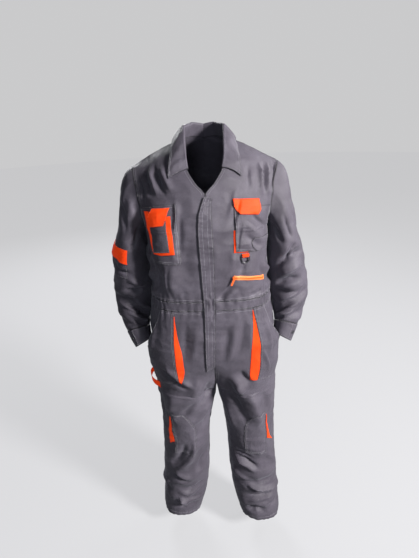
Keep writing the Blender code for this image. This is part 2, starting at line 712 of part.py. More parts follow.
def sleeve_net(side):
    sleeve = Sleeve(side)
    rings, normals = sleeve.grid(SLEEVE_STEPS, sleeve.turns)
    rings, normals = (np.concatenate([values, values[:, :1]], axis=1) for values in (rings, normals))
    return Net(np.concatenate([sleeve.turns, [1]]), SLEEVE_STEPS, rings, normals)


def add_on_net(name, net, grid, material_name, thickness=TRIM, scale=(ROW_LENGTH, 1)):
    """A patch over a net's facets from a grid of (u, v, lift in mm). It is cut along the net's own lines, so it
    follows every facet at its lift."""
    rows, columns = grid.shape[:2]
    mesh = bmesh.new()
    flat = [mesh.verts.new((u * scale[0], v * scale[1], lift)) for u, v, lift in grid.reshape(-1, 3)]
    for i in range(rows - 1):
        for j in range(columns - 1):
            a = i * columns + j
            mesh.faces.new((flat[a], flat[a + 1], flat[a + columns + 1], flat[a + columns]))
    low, high = grid.reshape(-1, 3).min(axis=0), grid.reshape(-1, 3).max(axis=0)
    for axis, lines in ((0, net.u), (1, net.v)):
        for line in lines[(lines > low[axis]) & (lines < high[axis])]:
            cut(mesh, mesh.faces, axis, line * scale[axis])
    for i, j, mirrored in net.cells():
        box = (net.u[j] * scale[0], net.u[j + 1] * scale[0], net.v[i] * scale[1], net.v[i + 1] * scale[1])
        inside = [face for face in mesh.faces if within(face.calc_center_median(), box)]
        if inside:
            u0, u1 = (box[1], box[0]) if mirrored else (box[0], box[1])
            cut_along(mesh, inside, (u0, box[2]), (u1, box[3]))
    mesh.verts.ensure_lookup_table()
    mesh.verts.index_update()
    places = np.array([vertex.co for vertex in mesh.verts])
    bottom, normals = net.put(places[:, 0] / scale[0], places[:, 1] / scale[1], places[:, 2])
    top = bottom + normals * thickness
    count = len(places)
    faces = []
    for face in mesh.faces:
        corners = [vertex.index for vertex in face.verts]
        faces.append(corners)
        faces.append([count + k for k in corners[::-1]])
    for edge in mesh.edges:
        if len(edge.link_faces) == 1:
            a, b = next((loop.vert.index, loop.link_loop_next.vert.index)
                        for loop in edge.link_faces[0].loops if loop.edge == edge)
            faces.append([b, a, count + a, count + b])
    mesh.free()
    return add_object(name, stand(np.concatenate([bottom, top])), faces, material_name)


def within(centre, box):
    return box[0] < centre.x < box[1] and box[2] < centre.y < box[3]


def cut(mesh, faces, axis, at):
    normal = (1, 0, 0) if axis == 0 else (0, 1, 0)
    cut_with(mesh, faces, (at, 0, 0) if axis == 0 else (0, at, 0), normal)


def cut_along(mesh, faces, start, stop):
    way = (stop[0] - start[0], stop[1] - start[1])
    size = math.hypot(*way)
    cut_with(mesh, faces, (*start, 0), (-way[1] / size, way[0] / size, 0))


def cut_with(mesh, faces, point, normal):
    faces = list(faces)
    edges = {edge for face in faces for edge in face.edges}
    verts = {vertex for face in faces for vertex in face.verts}
    bmesh.ops.bisect_plane(mesh, geom=faces + list(edges) + list(verts), dist=0.6, plane_co=point, plane_no=normal)


# ---------------------------------------------------------------- patches on the front

L0 = LIFT / MM  # lift of a patch on the panel
L1 = L0 + TRIM / MM + LIFT / MM  # of a patch on a patch

PATCHES = {
    # name: (material, steps across and between rows, bulge, rows of xa za lift xb zb lift)
    "chest_patch_right": ("cloth_grey", (1, 1), 0.0, (
        (-185, 1206, L0, -82, 1205, L0),
        (-187, 1290, L0, -85, 1290, L0),
        (-200, 1360, L0, -87, 1378, L0))),
    "phone_gusset_right": ("cloth_orange", (1, 1), 0.0, (
        (-182, 1352, L1, -166, 1354, L1 + 1.6),
        (-175, 1303, L1, -156, 1305, L1 + 2.6),
        (-167, 1262, L1, -154, 1264, L1 + 2.8),
        (-161, 1233, L1, -150, 1248, L1 + 2.8),
        (-139, 1231, L1, -136, 1246, L1 + 2.8),
        (-99, 1237, L1, -120, 1252, L1 + 2.8),
        (-102, 1291, L1, -122, 1291, L1 + 2.6),
        (-105, 1346, L1, -124, 1344, L1 + 1.6))),
    "phone_pocket_right": ("cloth_grey", (3, 1), 1.6, (
        (-158, 1237, L1 + 4.8, -112, 1244, L1 + 4.8),
        (-159, 1285, L1 + 4.8, -114, 1286, L1 + 4.8),
        (-160, 1334, L1 + 4.4, -117, 1334, L1 + 4.4))),
    "phone_flap_right": ("cloth_orange", (3, 1), 0.0, (
        (-157, 1315, L1 + 9.6, -123, 1321, L1 + 9.6),
        (-163, 1324, L1 + 9.4, -118, 1333, L1 + 9.0),
        (-163, 1339, L1 + 8.6, -112, 1347, L1 + 7.8),
        (-160, 1350, L1 + 6.8, -109, 1357, L1 + 5.8),
        (-156, 1363, L1, -105, 1368, L1))),
    "chest_pocket_left": ("cloth_grey", (2, 1), 0.0, (
        (74, 1238, L0 + 2.8, 170, 1226, L0),
        (73, 1300, L0 + 2.8, 172, 1292, L0),
        (71, 1366, L0 + 1.0, 180, 1354, L0))),
    "chest_gusset_left": ("cloth_orange", (1, 1), 0.0, (
        (68.5, 1300, L0, 77, 1300, L0 + 0.3),
        (68, 1235.5, L0, 78, 1246, L0 + 0.3),
        (111, 1231.5, L0, 109, 1243, L0 + 0.3))),
    "chest_flap_left": ("cloth_orange", (3, 1), 0.0, (
        (87, 1344, L1 + 3.6, 138, 1337, L1 + 2.6),
        (78, 1354, L1 + 3.6, 145, 1348, L1 + 2.6),
        (70, 1365, L1 + 3.4, 145, 1358, L1 + 2.4),
        (67, 1386, L0, 143, 1379, L0))),
    "pen_patch_left": ("cloth_grey", (2, 1), 0.0, (
        (133, 1234, L1 + 1.6, 168, 1227, L1 + 0.6),
        (124, 1244, L1 + 1.9, 169, 1239, L1 + 0.6),
        (119, 1257, L1 + 2.0, 170, 1252, L1 + 0.6),
        (127, 1273, L1 + 1.8, 170, 1267, L1 + 0.6))),
    "zip_tape_left": ("cloth_orange", (1, 1), 0.0, (
        (67, 1152, L0, 166, 1131, L0),
        (67, 1165.5, L0, 166, 1143.5, L0))),
    "knee_patch_right": ("cloth_grey", (1, 1), 0.0, (
        (-152, 440, L0, -74, 430, L0),
        (-147.6, 498, L0, -71, 495, L0),
        (-155.4, 545, L0, -68, 545, L0),
        (-159.4, 607, L0, -96, 604, L0),
        (-156, 624, L0, -118, 620, L0))),
    "knee_patch_left": ("cloth_grey", (1, 1), 0.0, (
        (100, 430, L0, 180, 428, L0),
        (98, 495, L0, 178, 497, L0),
        (98, 550, L0, 176, 552, L0),
        (110, 592, L0, 174, 592, L0),
        (136, 622, L0, 172, 622, L0))),
    "knee_gusset_right": ("cloth_orange", (1, 1), 0.0, (
        (-169, 477, L0, -149, 498, L0 + 0.6),
        (-168, 545, L0, -156.8, 545, L0 + 0.6),
        (-165, 608, L0, -160.8, 607, L0 + 0.4))),
    "knee_gusset_left": ("cloth_orange", (1, 1), 0.0, (
        (180.4, 496, L0 + 0.6, 204, 468, L0),
        (179.6, 515, L0 + 0.6, 190, 504, L0),
        (178.2, 545, L0 + 0.6, 184, 542, L0),
        (175.4, 606, L0 + 0.3, 178, 606, L0))),
}

PLACKET = (
    # z, right edge x, left edge x
    (818, -26, -16),
    (838, -27, 3),
    (948, -26, 8),
    (1052, -25, 10),
    (1160, -28, 12),
    (1250, -31, 12),
    (1307, -32, 10),
    (1350, -28, 9),
    (1378, -18, 10),
    (1394, -11, 12),
)

# Hip pockets: the seam beside the orange gusset, which is the pocket's inner edge, and the gusset's other edge.
HIP_SEAM = {
    # side: rows of height, pocket edge x, gusset's other edge x
    -1: ((772, 114, 111), (800, 120, 102), (829, 124, 98), (890, 124.5, 102), (967, 122, 112), (1028, 118, 115.5),
         (1051, 117, 115)),
    1: ((766, 140, 117), (800, 147, 116), (829, 149, 117), (909, 148, 121), (987, 136, 124), (1043, 125, 122.5),
        (1051, 124, 122)),
}
HIP_GUSSET_TOP = {-1: 1034, 1: 1044}
HIP_GUSSET_GAP = 0.003  # between the gusset and the pocket's edge, as a share of the row
HIP_MOUTH = (
    # share of the way from the gusset to the side seam, level of the pocket's upper edge
    (0.00, 1051.4), (0.30, 1051.4), (0.36, 1018), (0.50, 962), (0.68, 903), (0.84, 868), (1.00, 840),
)
HIP_FOOT = ((0.00, 774), (0.50, 762), (1.00, 748))
HIP_FULLNESS = (
    # share of the way, how far the pocket stands off over the hand's room, mm
    (0.00, 5), (0.30, 10), (0.50, 17), (0.68, 22), (0.84, 15), (1.00, 0),
)
HIP_HEIGHT = (
    # level, share of that
    (745, 0.0), (785, 0.15), (820, 0.45), (870, 0.88), (910, 1.0), (960, 0.75), (1000, 0.4), (1052, 0.0),
)


def row_grid(rows, steps_across, steps_between):
    """A grid from a table of rows, each with its two ends and their lifts."""
    rows = np.array(rows, float)
    keys = np.arange(len(rows))
    at = np.linspace(0, len(rows) - 1, (len(rows) - 1) * steps_between + 1)
    ends = np.stack([np.interp(at, keys, rows[:, k]) for k in range(6)], -1)
    share = np.linspace(0, 1, steps_across + 1)[None, :, None]
    return ends[:, None, :3] * (1 - share) + ends[:, None, 3:] * share


def seen_grid(rows, steps, bulge=0.0):
    """Turns rows seen from the front (x, z, lift) into a grid of (across, level, lift)."""
    rows = np.array(rows, float)
    for first in (0, 3):
        side, across, level = find_on_front(rows[:, first], rows[:, first + 1])
        rows[:, first], rows[:, first + 1] = side * across, level
    grid = row_grid(rows, *steps)
    count, columns = grid.shape[:2]
    grid[..., 2] += bulge * np.outer(np.sin(np.linspace(0, np.pi, count)), np.sin(np.linspace(0, np.pi, columns)))
    return grid


def add_patches(net):
    for name, (material_name, steps, bulge, rows) in PATCHES.items():
        add_on_net(name, net, seen_grid(rows, steps, bulge), material_name)
    rows = [(right, z, L0, left, z, L0) for z, right, left in PLACKET]
    add_on_net("placket", net, seen_grid(rows, (2, 1)), "cloth_grey", CLOTH)


def add_hip_pockets(net):
    shares = np.array([0, 0.30, 0.50, 0.68, 0.84, 1.0])
    heights = np.array([0, 0.25, 0.5, 0.75, 1.0])
    for side, word in ((-1, "right"), (1, "left")):
        seam = np.array(HIP_SEAM[side], float)
        _, edge, edge_level = find_on_front(seam[:, 1] * side, seam[:, 0])
        _, other, other_level = find_on_front(seam[:, 2] * side, seam[:, 0])
        foot, mouth = np.interp(shares, *np.array(HIP_FOOT).T), np.interp(shares, *np.array(HIP_MOUTH).T)
        level = foot + (mouth - foot) * heights[:, None]
        inner = np.interp(level, edge_level, edge)
        across = inner + (0.996 - inner) * shares
        lift = L0 + np.interp(shares, *np.array(HIP_FULLNESS).T) * np.interp(level, *np.array(HIP_HEIGHT).T)
        add_on_net(f"hip_pocket_{word}", net, np.stack([across * side, level, lift], -1), "cloth_grey")
        top = HIP_GUSSET_TOP[side]
        lift[-1, 0], across[-1, 0] = np.interp(top, level[:, 0], lift[:, 0]), np.interp(top, edge_level, edge)
        level[-1, 0] = top
        far_side = np.interp(level[:, 0], other_level, other)
        rows = np.stack([side * (across[:, 0] - HIP_GUSSET_GAP), level[:, 0], lift[:, 0],
                         side * far_side, level[:, 0], np.full(len(level), L0)], -1)
        add_on_net(f"hip_gusset_{word}", net, row_grid(rows, 1, 1), "cloth_orange")


SLEEVE_POCKET = (
    # turn, ring of the sleeve table, lift, and the same at the other end
    (0.262, 2.15, L0, 0.52, 1.95, L0),
    (0.262, 1.40, L0, 0.52, 1.20, L0),
    (0.264, 1.00, L0, 0.52, 0.72, L0),
)
SLEEVE_FLAP = (
    (0.255, 1.36, L1 + 1.0, 0.53, 1.04, L1 + 1.0),
    (0.255, 0.98, L1 + 0.8, 0.53, 0.70, L1 + 0.8),
    (0.255, 0.62, L0, 0.53, 0.32, L0),
)


def add_sleeve_pocket():
    net = sleeve_net(-1)
    add_on_net("sleeve_pocket_right", net, row_grid(SLEEVE_POCKET, 1, 1), "cloth_grey", scale=(400, 60))
    add_on_net("sleeve_flap_right", net, row_grid(SLEEVE_FLAP, 1, 1), "cloth_orange", scale=(400, 60))


# ---------------------------------------------------------------- collar

COLLAR = (
    # along the neckline from its front end (0) to the middle of the back (1): how high the collar stands, how far
    # its fold lies out, and where its free edge rests: around the body, at which level, how far off it, in mm
    (0.00,  3,  3, 0.270, 1446, 3.0),
    (0.12, 11,  5, 0.250, 1462, 4.0),
    (0.26, 22,  6, 0.215, 1484, 5.0),
    (0.42, 32,  7, 0.170, 1512, 6.0),
    (0.54, 35,  7, 0.135, 1532, 7.0),
)
COLLAR_BACK = (
    (0.54, 35,  7, 0.135, 1532, 7.0),
    (0.66, 36,  8, 0.130, 1494, 8.0),
    (0.82, 37,  8, 0.100, 1455, 8.0),
    (1.00, 37,  8, 0.000, 1449, 8.0),
)
SHOULDER_ALONG = 0.54
STAND_LEAN = 0.36  # of the collar's stand towards the neck


def neckline(side, along):
    """Points on the neckline and the level ways into the neck hole, at places along it."""
    pieces = []
    upper = [level for level in UPPER_LEVELS if level >= COLLAR_END]
    for facing, levels, start, stop in ((-1, upper, 0, SHOULDER_ALONG), (1, upper[::-1], SHOULDER_ALONG, 1)):
        edge, _ = Piece(facing, side).place(np.zeros(len(levels)), levels)
        run = np.concatenate([[0], np.cumsum(np.linalg.norm(np.diff(edge, axis=0), axis=1))])
        pieces.append((start + (stop - start) * run / run[-1], edge))
    keys = np.concatenate([part[0] for part in pieces])
    points = np.concatenate([part[1] for part in pieces])
    here = np.stack([np.interp(along, keys, points[:, k]) for k in range(3)], -1)
    ahead = np.stack([np.interp(along + 0.02, keys, points[:, k]) for k in range(3)], -1)
    behind = np.stack([np.interp(along - 0.02, keys, points[:, k]) for k in range(3)], -1)
    way = ahead - behind
    into = np.stack([way[:, 1], -way[:, 0], 0 * along], -1)
    into *= np.sign((into * (np.array([0, -0.015, 0]) - here)).sum(-1, keepdims=True))
    into[along >= 1] = (0, -1, 0)
    return here, unit(into)


def add_collar():
    along = np.concatenate([np.linspace(0, SHOULDER_ALONG, 7), np.linspace(SHOULDER_ALONG, 1, 6)[1:]])
    halves = []
    for side in (-1, 1):
        seam, into = neckline(side, along)
        up = np.array([0, 0, 1.0])
        profile = []
        for k, at in enumerate(along):
            table, facing = (COLLAR, -1) if at <= SHOULDER_ALONG + 1e-9 else (COLLAR_BACK, 1)
            stand_up, roll, around, level, lift = spline(table, np.array(at))
            piece = Piece(facing, side)
            edge, normal = piece.place(np.array([around]), np.array([level]))
            edge = edge[0] + normal[0] * lift * MM
            base = seam[k] + into[k] * 2 * SEAM_GAP
            crest = base + (up + into[k] * STAND_LEAN) * stand_up * MM
            over = crest - into[k] * roll * MM - up * 0.12 * roll * MM
            path = [base, base + (crest - base) * 0.5 + into[k] * 0.6 * MM, crest - up * 1.2 * MM,
                    crest - into[k] * 0.5 * roll * MM + up * 1.6 * MM, over]
            for share in (0.33, 0.67, 1.0):
                path.append(over + (edge - over) * share + up * (3.5 * math.sin(math.pi * share)) * MM)
            profile.append(path)
        halves.append(np.array(profile))
    under = np.concatenate([halves[0], halves[1][-2::-1]])
    along_way = np.gradient(under, axis=0)
    path_way = np.gradient(under, axis=1)
    normals = unit(np.cross(along_way, path_way))
    if normals[0, 0] @ np.array([1.0, 0.0, 0.0]) < 0:
        normals = -normals
    add_wall("collar", under + normals * TRIM * 1.3, under, "cloth_grey")


# ---------------------------------------------------------------- loops, ring, zip, buttons

def frame_on_front(x, z, lift):
    """Origin, level sideways way, outward way and downward way at a place on the front, as standing."""
    here, normal = lay_on_front(np.array([x]), np.array([z]), np.array([lift]))
    side_way = unit(np.array([-normal[0, 1], normal[0, 0], 0.0]))
    if side_way[0] < 0:
        side_way = -side_way
    down = unit(np.cross(normal[0], side_way))
    if down[2] > 0:
        down = -down
    return stand(here)[0], side_way, normal[0], down


RING_AT = (101, 1223)  # the ring's bar, seen from the front
RING_BAR_LIFT = 3.3
RING_WIRE = 1.4
RING_HALF_WIDTH = 12.2
RING_DROP = 19.5
STRAP_HALF_WIDTH = 9.8
STRAP_TOP = 7.6  # above the bar
STRAP = 1.0
PULL_AT = (67, 1158.5)
PULL_TURN = 22  # degrees towards the middle
PULL_HINGE_OUT, PULL_HINGE_DOWN = 4.2, 2.0  # from the slider's middle
SLIDER_HALF = 4.0
SLIDER_HEIGHT = 2.6
BUTTON_RADIUS = 5.6
BUTTON_LOW, BUTTON_HIGH = 0.4, 2.6  # above the cuff
BUTTON_TURN = 0.36  # round the cuff


def strap_path(wire, lift):
    """The webbing's inner face round the bar, as (down, out) in mm from the bar's axis, from its back top end."""
    radius = wire + 0.35
    path = [(-STRAP_TOP, -lift + 0.35 + STRAP), (-4.5, -min(radius, lift - 0.35 - STRAP))]
    path += [(radius * math.sin(a), -radius * math.cos(a)) for a in np.radians((0, 45, 90, 135, 180))]
    path += [(-4.5, radius), (-STRAP_TOP, radius - 0.2)]
    return path


def add_ring():
    origin, across, out, down = frame_on_front(*RING_AT, RING_BAR_LIFT)
    path = strap_path(RING_WIRE, RING_BAR_LIFT)
    inner, outer = [], []
    for k, (d, o) in enumerate(path):
        before, after = path[max(k - 1, 0)], path[min(k + 1, len(path) - 1)]
        way = np.array([after[0] - before[0], after[1] - before[1]])
        side_way = np.array([way[1], -way[0]]) / np.linalg.norm(way)
        inner.append((d, o))
        outer.append((d + side_way[0] * STRAP, o + side_way[1] * STRAP))
    outer = outer if sum(abs(v[1]) for v in outer) > sum(abs(v[1]) for v in inner) else [
        (2 * a[0] - b[0], 2 * a[1] - b[1]) for a, b in zip(inner, outer)]
    grids = []
    for side_path in (outer, inner):
        grids.append(np.array([[origin + (across * edge + down * d + out * o) * MM
                                for edge in (-STRAP_HALF_WIDTH, STRAP_HALF_WIDTH)] for d, o in side_path]))
    rows, columns = grids[0].shape[:2]
    faces = (grid_faces(rows, columns) + grid_faces(rows, columns, rows * columns, False, True)
             + rim_faces(rows, columns, False))
    add_object("ring_strap", np.concatenate([g.reshape(-1, 3) for g in grids]), faces, "cloth_orange")
    outline = [(-RING_HALF_WIDTH, 0), (0, 0), (RING_HALF_WIDTH, 0)]
    outline += [(RING_HALF_WIDTH * math.cos(a), 5 + (RING_DROP - 5) * math.sin(a))
                for a in np.radians(np.linspace(0, 180, 13))]
    add_wire("d_ring", [(across * x + down * d) * MM for x, d in outline], RING_WIRE * MM, "hard_dark", origin)


def add_wire(name, path, radius, material_name, origin, sides=8):
    """A closed ring of round wire; its points are given from its origin."""
    path = np.array(path)
    way = unit(np.roll(path, -1, axis=0) - np.roll(path, 1, axis=0))
    plane = unit(np.cross(path[1] - path[0], path[len(path) // 2] - path[0]))
    across = np.cross(way, plane)
    angles = 2 * np.pi * np.arange(sides) / sides
    rings = path[:, None] + radius * (np.cos(angles)[None, :, None] * across[:, None]
                                      + np.sin(angles)[None, :, None] * plane)
    count = len(path)
    faces = []
    for i in range(count):
        for j in range(sides):
            a, b = i * sides + j, i * sides + (j + 1) % sides
            c, d = (i + 1) % count * sides + (j + 1) % sides, (i + 1) % count * sides + j
            faces.append((a, b, c, d))
    vertices = rings.reshape(-1, 3) + origin
    return add_object(name, vertices, faces, material_name, origin)


def add_block(name, origin, ways, outline, low, high, material_name, object_origin=(0, 0, 0)):
    """A prism: outline points (across, down) between two heights (out), all in mm from origin."""
    across, out, down = ways
    vertices = [origin + (across * x + down * d + out * o) * MM for o in (low, high) for x, d in outline]
    n = len(outline)
    faces = [tuple(range(n)), tuple(range(2 * n - 1, n - 1, -1))]
    faces += [(k, n + k, n + (k + 1) % n, (k + 1) % n) for k in range(n)]
    return add_object(name, vertices, faces, material_name, object_origin)


def rounded(half_width, top, bottom, corner=1.5):
    points = []
    for x, d, a0 in ((half_width, top, -90), (half_width, bottom, 0), (-half_width, bottom, 90),
                     (-half_width, top, 180)):
        cx, cd = x - math.copysign(corner, x), d + (corner if d == top else -corner)
        points += [(cx + corner * math.cos(math.radians(a)), cd + corner * math.sin(math.radians(a)))
                   for a in (a0, a0 + 45, a0 + 90)]
    return points


def add_zip_pull():
    origin, across, out, down = frame_on_front(*PULL_AT, L0 + TRIM / MM + 0.1)
    ways = (across, out, down)
    add_block("zip_slider", origin, ways, rounded(SLIDER_HALF, -4.5, 4.5), 0, SLIDER_HEIGHT, "hard_orange")
    hinge = origin + (out * PULL_HINGE_OUT + down * PULL_HINGE_DOWN) * MM
    cos, sin = math.cos(math.radians(PULL_TURN)), math.sin(math.radians(PULL_TURN))
    ways = (across * cos + down * sin, out, down * cos - across * sin)
    add_block("zip_pull", hinge, ways, rounded(2.6, -1.2, 22, 1.2), -0.8, 0.8, "hard_orange", hinge)


def add_button(name, side, turns):
    rings = np.array([table_ring(CUFF, at, side, turns) for at in (0, 1, 2)])
    normals = ring_normals(rings)
    k = int(np.argmin(np.abs(turns - BUTTON_TURN)))
    middle, normal = stand(rings[1, k][None])[0], normals[1, k]
    a = unit(np.cross(normal, (0, 0, 1)))
    b = np.cross(normal, a)
    turns_round = np.radians(np.arange(0, 360, 30))
    outline = [(BUTTON_RADIUS * math.cos(t), BUTTON_RADIUS * math.sin(t)) for t in turns_round]
    add_block(name, middle, (a, normal, b), outline, BUTTON_LOW, BUTTON_HIGH, "hard_dark")


TOOL_LOOP = (
    # around, level, lift: the strap's middle line on the wearer's right thigh, across the side seam
    (0.80, 735, L0), (0.815, 735, 1.0), (0.85, 736, 7.0), (0.89, 738, 12.5), (0.93, 741, 16.0),
    (0.975, 744, 16.0), (1.02, 746, 12.0), (1.05, 747, 6.0), (1.07, 748, 1.0), (1.085, 748, L0),
)
TOOL_LOOP_HALF_WIDTH = 11


def add_tool_loop():
    around, level, lift = np.array(TOOL_LOOP).T
    rows = [(around, level + edge, lift) for edge in (-TOOL_LOOP_HALF_WIDTH, TOOL_LOOP_HALF_WIDTH)]
    add_on_net("tool_loop", leg_net(-1), np.stack([np.stack(row, -1) for row in rows]), "cloth_orange")


def main():
    for old in list(bpy.data.objects):
        bpy.data.objects.remove(old)
    net = front_net()
    add_body()
    add_sleeves()
    add_collar()
    add_patches(net)
    add_hip_pockets(net)
    add_sleeve_pocket()
    add_ring()
    add_zip_pull()
    add_tool_loop()


main()
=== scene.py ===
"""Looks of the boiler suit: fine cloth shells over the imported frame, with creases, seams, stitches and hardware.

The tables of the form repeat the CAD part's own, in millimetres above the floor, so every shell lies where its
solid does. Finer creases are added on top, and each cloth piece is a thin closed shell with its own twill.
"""

import math

import bpy
import numpy as np
from mathutils import Matrix, Vector


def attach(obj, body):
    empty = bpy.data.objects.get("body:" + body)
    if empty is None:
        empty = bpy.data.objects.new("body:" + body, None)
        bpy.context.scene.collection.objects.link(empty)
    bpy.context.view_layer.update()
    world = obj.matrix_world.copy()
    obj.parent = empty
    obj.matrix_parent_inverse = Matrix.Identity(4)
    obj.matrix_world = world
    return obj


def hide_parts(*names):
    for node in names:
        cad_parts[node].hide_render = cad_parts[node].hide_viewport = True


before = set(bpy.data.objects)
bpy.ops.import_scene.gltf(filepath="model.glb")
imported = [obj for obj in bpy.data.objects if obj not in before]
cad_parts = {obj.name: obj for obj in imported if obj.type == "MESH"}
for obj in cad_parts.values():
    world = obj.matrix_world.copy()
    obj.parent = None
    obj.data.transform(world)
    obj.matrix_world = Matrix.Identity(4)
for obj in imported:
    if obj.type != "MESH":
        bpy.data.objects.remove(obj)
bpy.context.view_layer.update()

MM = 0.001
ORIGIN_HEIGHT = 1.500  # of the shoulders' bearing above the floor
SUIT = "suit"
CLOTH = 0.0012  # body cloth, in metres
TRIM = 0.0010  # patches, flaps and gussets
SEAM_GAP = 0.0003  # between pieces that are sewn together
STEP = 4.5  # spacing of the shells' grid lines, in mm

# Levels of the cut, in millimetres above the floor
HEM, CROTCH, BAND_BOTTOM, WAIST_SEAM, ARMPIT = 70, 705, 1052, 1082, 1295
NECK_V, COLLAR_END, SHOULDER = 1398, 1464, 1532  # the nape is level with the collar's ends

# ---------------------------------------------------------------- tables of the form

# Seams shared by front and back. x is the distance from the middle.
INSEAM = (
    # level x
    (70, 83), (110, 72), (170, 56), (250, 44), (350, 36), (450, 33), (550, 23), (650, 5), (705, 0),
)
SIDE_SEAM = (
    # level x
    (70, 229), (110, 231), (170, 227), (250, 220), (350, 214), (450, 208), (550, 206), (650, 210), (705, 214),
    (790, 212), (850, 207), (950, 200), (1052, 192), (1082, 188), (1150, 183), (1220, 182), (1295, 187),
)
# Middle edges above the crotch: d is the distance in front of the side seams, or behind them at the back.
FRONT_MIDDLE = (
    # level   x    d     z
    (705,     0,   0,  705),
    (716,     0,  26,  708),
    (740,     0,  60,  730),
    (790,     0,  98,  788),
    (850,     0, 124,  850),
    (950,     0, 138,  950),
    (1052,    0, 141, 1052),
    (1082,    0, 141, 1082),
    (1150,    0, 145, 1150),
    (1220,    0, 148, 1220),
    (1295,    0, 146, 1295),
    (1350,    0, 140, 1350),
    (1398,    0, 130, 1398),
    (1430,   25, 121, 1430),
    (1464,   47, 102, 1464),
    (1500,   61,  60, 1505),
    (1532,   68,   0, 1537),
)
BACK_MIDDLE = (
    (705,     0,   0,  705),
    (716,     0,  32,  709),
    (740,     0,  72,  733),
    (790,     0, 116,  790),
    (850,     0, 140,  850),
    (950,     0, 142,  950),
    (1052,    0, 113, 1052),
    (1082,    0, 109, 1082),
    (1150,    0, 120, 1150),
    (1220,    0, 132, 1220),
    (1295,    0, 141, 1295),
    (1350,    0, 143, 1360),
    (1398,    0, 136, 1418),
    (1430,    0, 112, 1470),
    (1464,    0,  68, 1531),
    (1500,   38,  50, 1539),
    (1532,   68,   0, 1537),
)
# Armholes, from the underarm to the shoulder's end.
FRONT_ARMHOLE = (
    # level   x    d     z
    (1295,  187,   0, 1295),
    (1304,  186,  30, 1298),
    (1320,  185,  50, 1310),
    (1350,  187,  66, 1338),
    (1398,  193,  66, 1384),
    (1430,  199,  54, 1417),
    (1464,  205,  38, 1442),
    (1500,  209,  18, 1460),
    (1532,  211,   0, 1468),
)
BACK_ARMHOLE = (
    (1295,  187,   0, 1295),
    (1304,  186,  28, 1298),
    (1320,  186,  46, 1310),
    (1350,  188,  58, 1338),
    (1398,  194,  56, 1386),
    (1430,  200,  46, 1418),
    (1464,  206,  32, 1443),
    (1500,  210,  15, 1460),
    (1532,  211,   0, 1468),
)
# How a row bows: leave is the angle at which it leaves its middle edge (0 sideways, 90 straight out), arrive the
# angle at which it meets its side edge (90 straight in), reach and pull how long it keeps to them, in mm, and
# lift how far its middle stands above the line between its ends.
FRONT_BOW = (
    # level leave reach arrive pull lift
    (70,    90, 112, 90, 112, 36),
    (110,   90, 113, 90, 113, 20),
    (170,   90, 112, 90, 112,  6),
    (250,   90, 112, 90, 112,  0),
    (350,   90, 116, 90, 116,  0),
    (450,   90, 124, 90, 124,  0),
    (550,   90, 134, 90, 134,  0),
    (650,   90, 143, 90, 143,  0),
    (705,   90, 146, 90, 146,  0),
    (716,   86, 112, 90, 140,  0),
    (740,   62,  98, 90, 122,  0),
    (790,   22, 112, 90, 118,  0),
    (850,    4, 130, 90, 117,  0),
    (950,    0, 146, 90, 120,  0),
    (1052,   0, 146, 90, 124,  0),
    (1082,   0, 146, 90, 126,  0),
    (1150,   0, 148, 90, 128,  0),
    (1220,   0, 148, 90, 128,  0),
    (1295,   0, 146, 84, 110,  0),
    (1304,   0, 145, 80,  73,  0),
    (1320,   0, 142, 72,  55,  0),
    (1350,   0, 134, 58,  54,  0),
    (1398,   0, 118, 38,  46,  0),
    (1430,   0, 100, 30,  46,  0),
    (1464,   0,  80, 20,  46,  2),
    (1500,   0,  60,  8,  46,  3),
    (1532,   0,  48,  0,  48,  4),
)
BACK_BOW = (
    (70,    90, 102, 90, 102, -12),
    (110,   90, 106, 90, 106,  0),
    (170,   90, 110, 90, 110,  0),
    (250,   90, 120, 90, 120,  0),
    (350,   90, 124, 90, 124,  0),
    (450,   90, 118, 90, 118,  0),
    (550,   90, 132, 90, 132,  0),
    (650,   90, 152, 90, 152,  0),
    (705,   90, 163, 90, 163,  0),
    (716,   86, 122, 90, 156,  0),
    (740,   62,  92, 90, 136,  0),
    (790,   24, 112, 90, 126,  0),
    (850,    4, 122, 90, 108,  0),
    (950,    0, 122, 90,  96,  0),
    (1052,   0, 115, 90,  76,  0),
    (1082,   0, 112, 90,  70,  0),
    (1150,   0, 114, 90,  76,  0),
    (1220,   0, 116, 90,  84,  0),
    (1295,   0, 116, 96,  90,  0),
    (1304,   0, 116, 97,  55,  0),
    (1320,   0, 115, 87,  37,  0),
    (1350,   0, 112, 60,  48,  0),
    (1398,   0, 108, 42,  42,  0),
    (1430,   0, 100, 32,  44,  0),
    (1464,   0,  84, 20,  46,  2),
    (1500,   0,  66,  8,  46,  3),
    (1532,   0,  48,  0,  48,  4),
)
# The wearer leans: how far the middle of the suit stands to the wearer's left at each height, and how far the
# left leg's hem stands forward.
LEAN = (
    # height shift
    (0, 9), (600, 9), (850, 0), (1082, -3), (1300, -7), (1420, -6), (1500, -3), (1600, -3),
)
LEFT_LEG_FORWARD = 38
RIGHT_LEG_OUT = 6

# Sleeve below its cap: the middle of each ring, its half-width across and front to back, and how the ring leans:
# inward is how far its outer side drops, nod how far its front drops. The last ring is the cuff seam.
SLEEVE = (
    # x       y    z   across deep inward  nod
    (233,   0, 1270,   47,   76,    6,     2),
    (243,    3, 1215,   55,   75,    0,     5),
    (250,   10, 1150,   60,   72,   -4,     6),
    (254,   20, 1092,   63,   69,   -4,     2),
    (259,   27, 1045,   62,   65,   -4,    -8),
    (261,   20, 1003,   57,   60,   -4,   -22),
    (259,    4,  967,   47,   54,    2,   -26),
    (251,  -12,  934,   38,   47,   10,   -24),
)
CUFF = (
    (250.9, -12.2, 933.5, 38, 47,   10,   -24),
    (243,  -24,  911,   33,   43,   14,   -22),
    (234,  -35,  890,   28,   40,   18,   -20),
)
ELBOW_OUT = 6  # the left elbow stands out further than the right one
CAP_RINGS = 3
CAP_STANDS_OFF = 0.0008  # of the sleeve's edge at the underarm, in metres

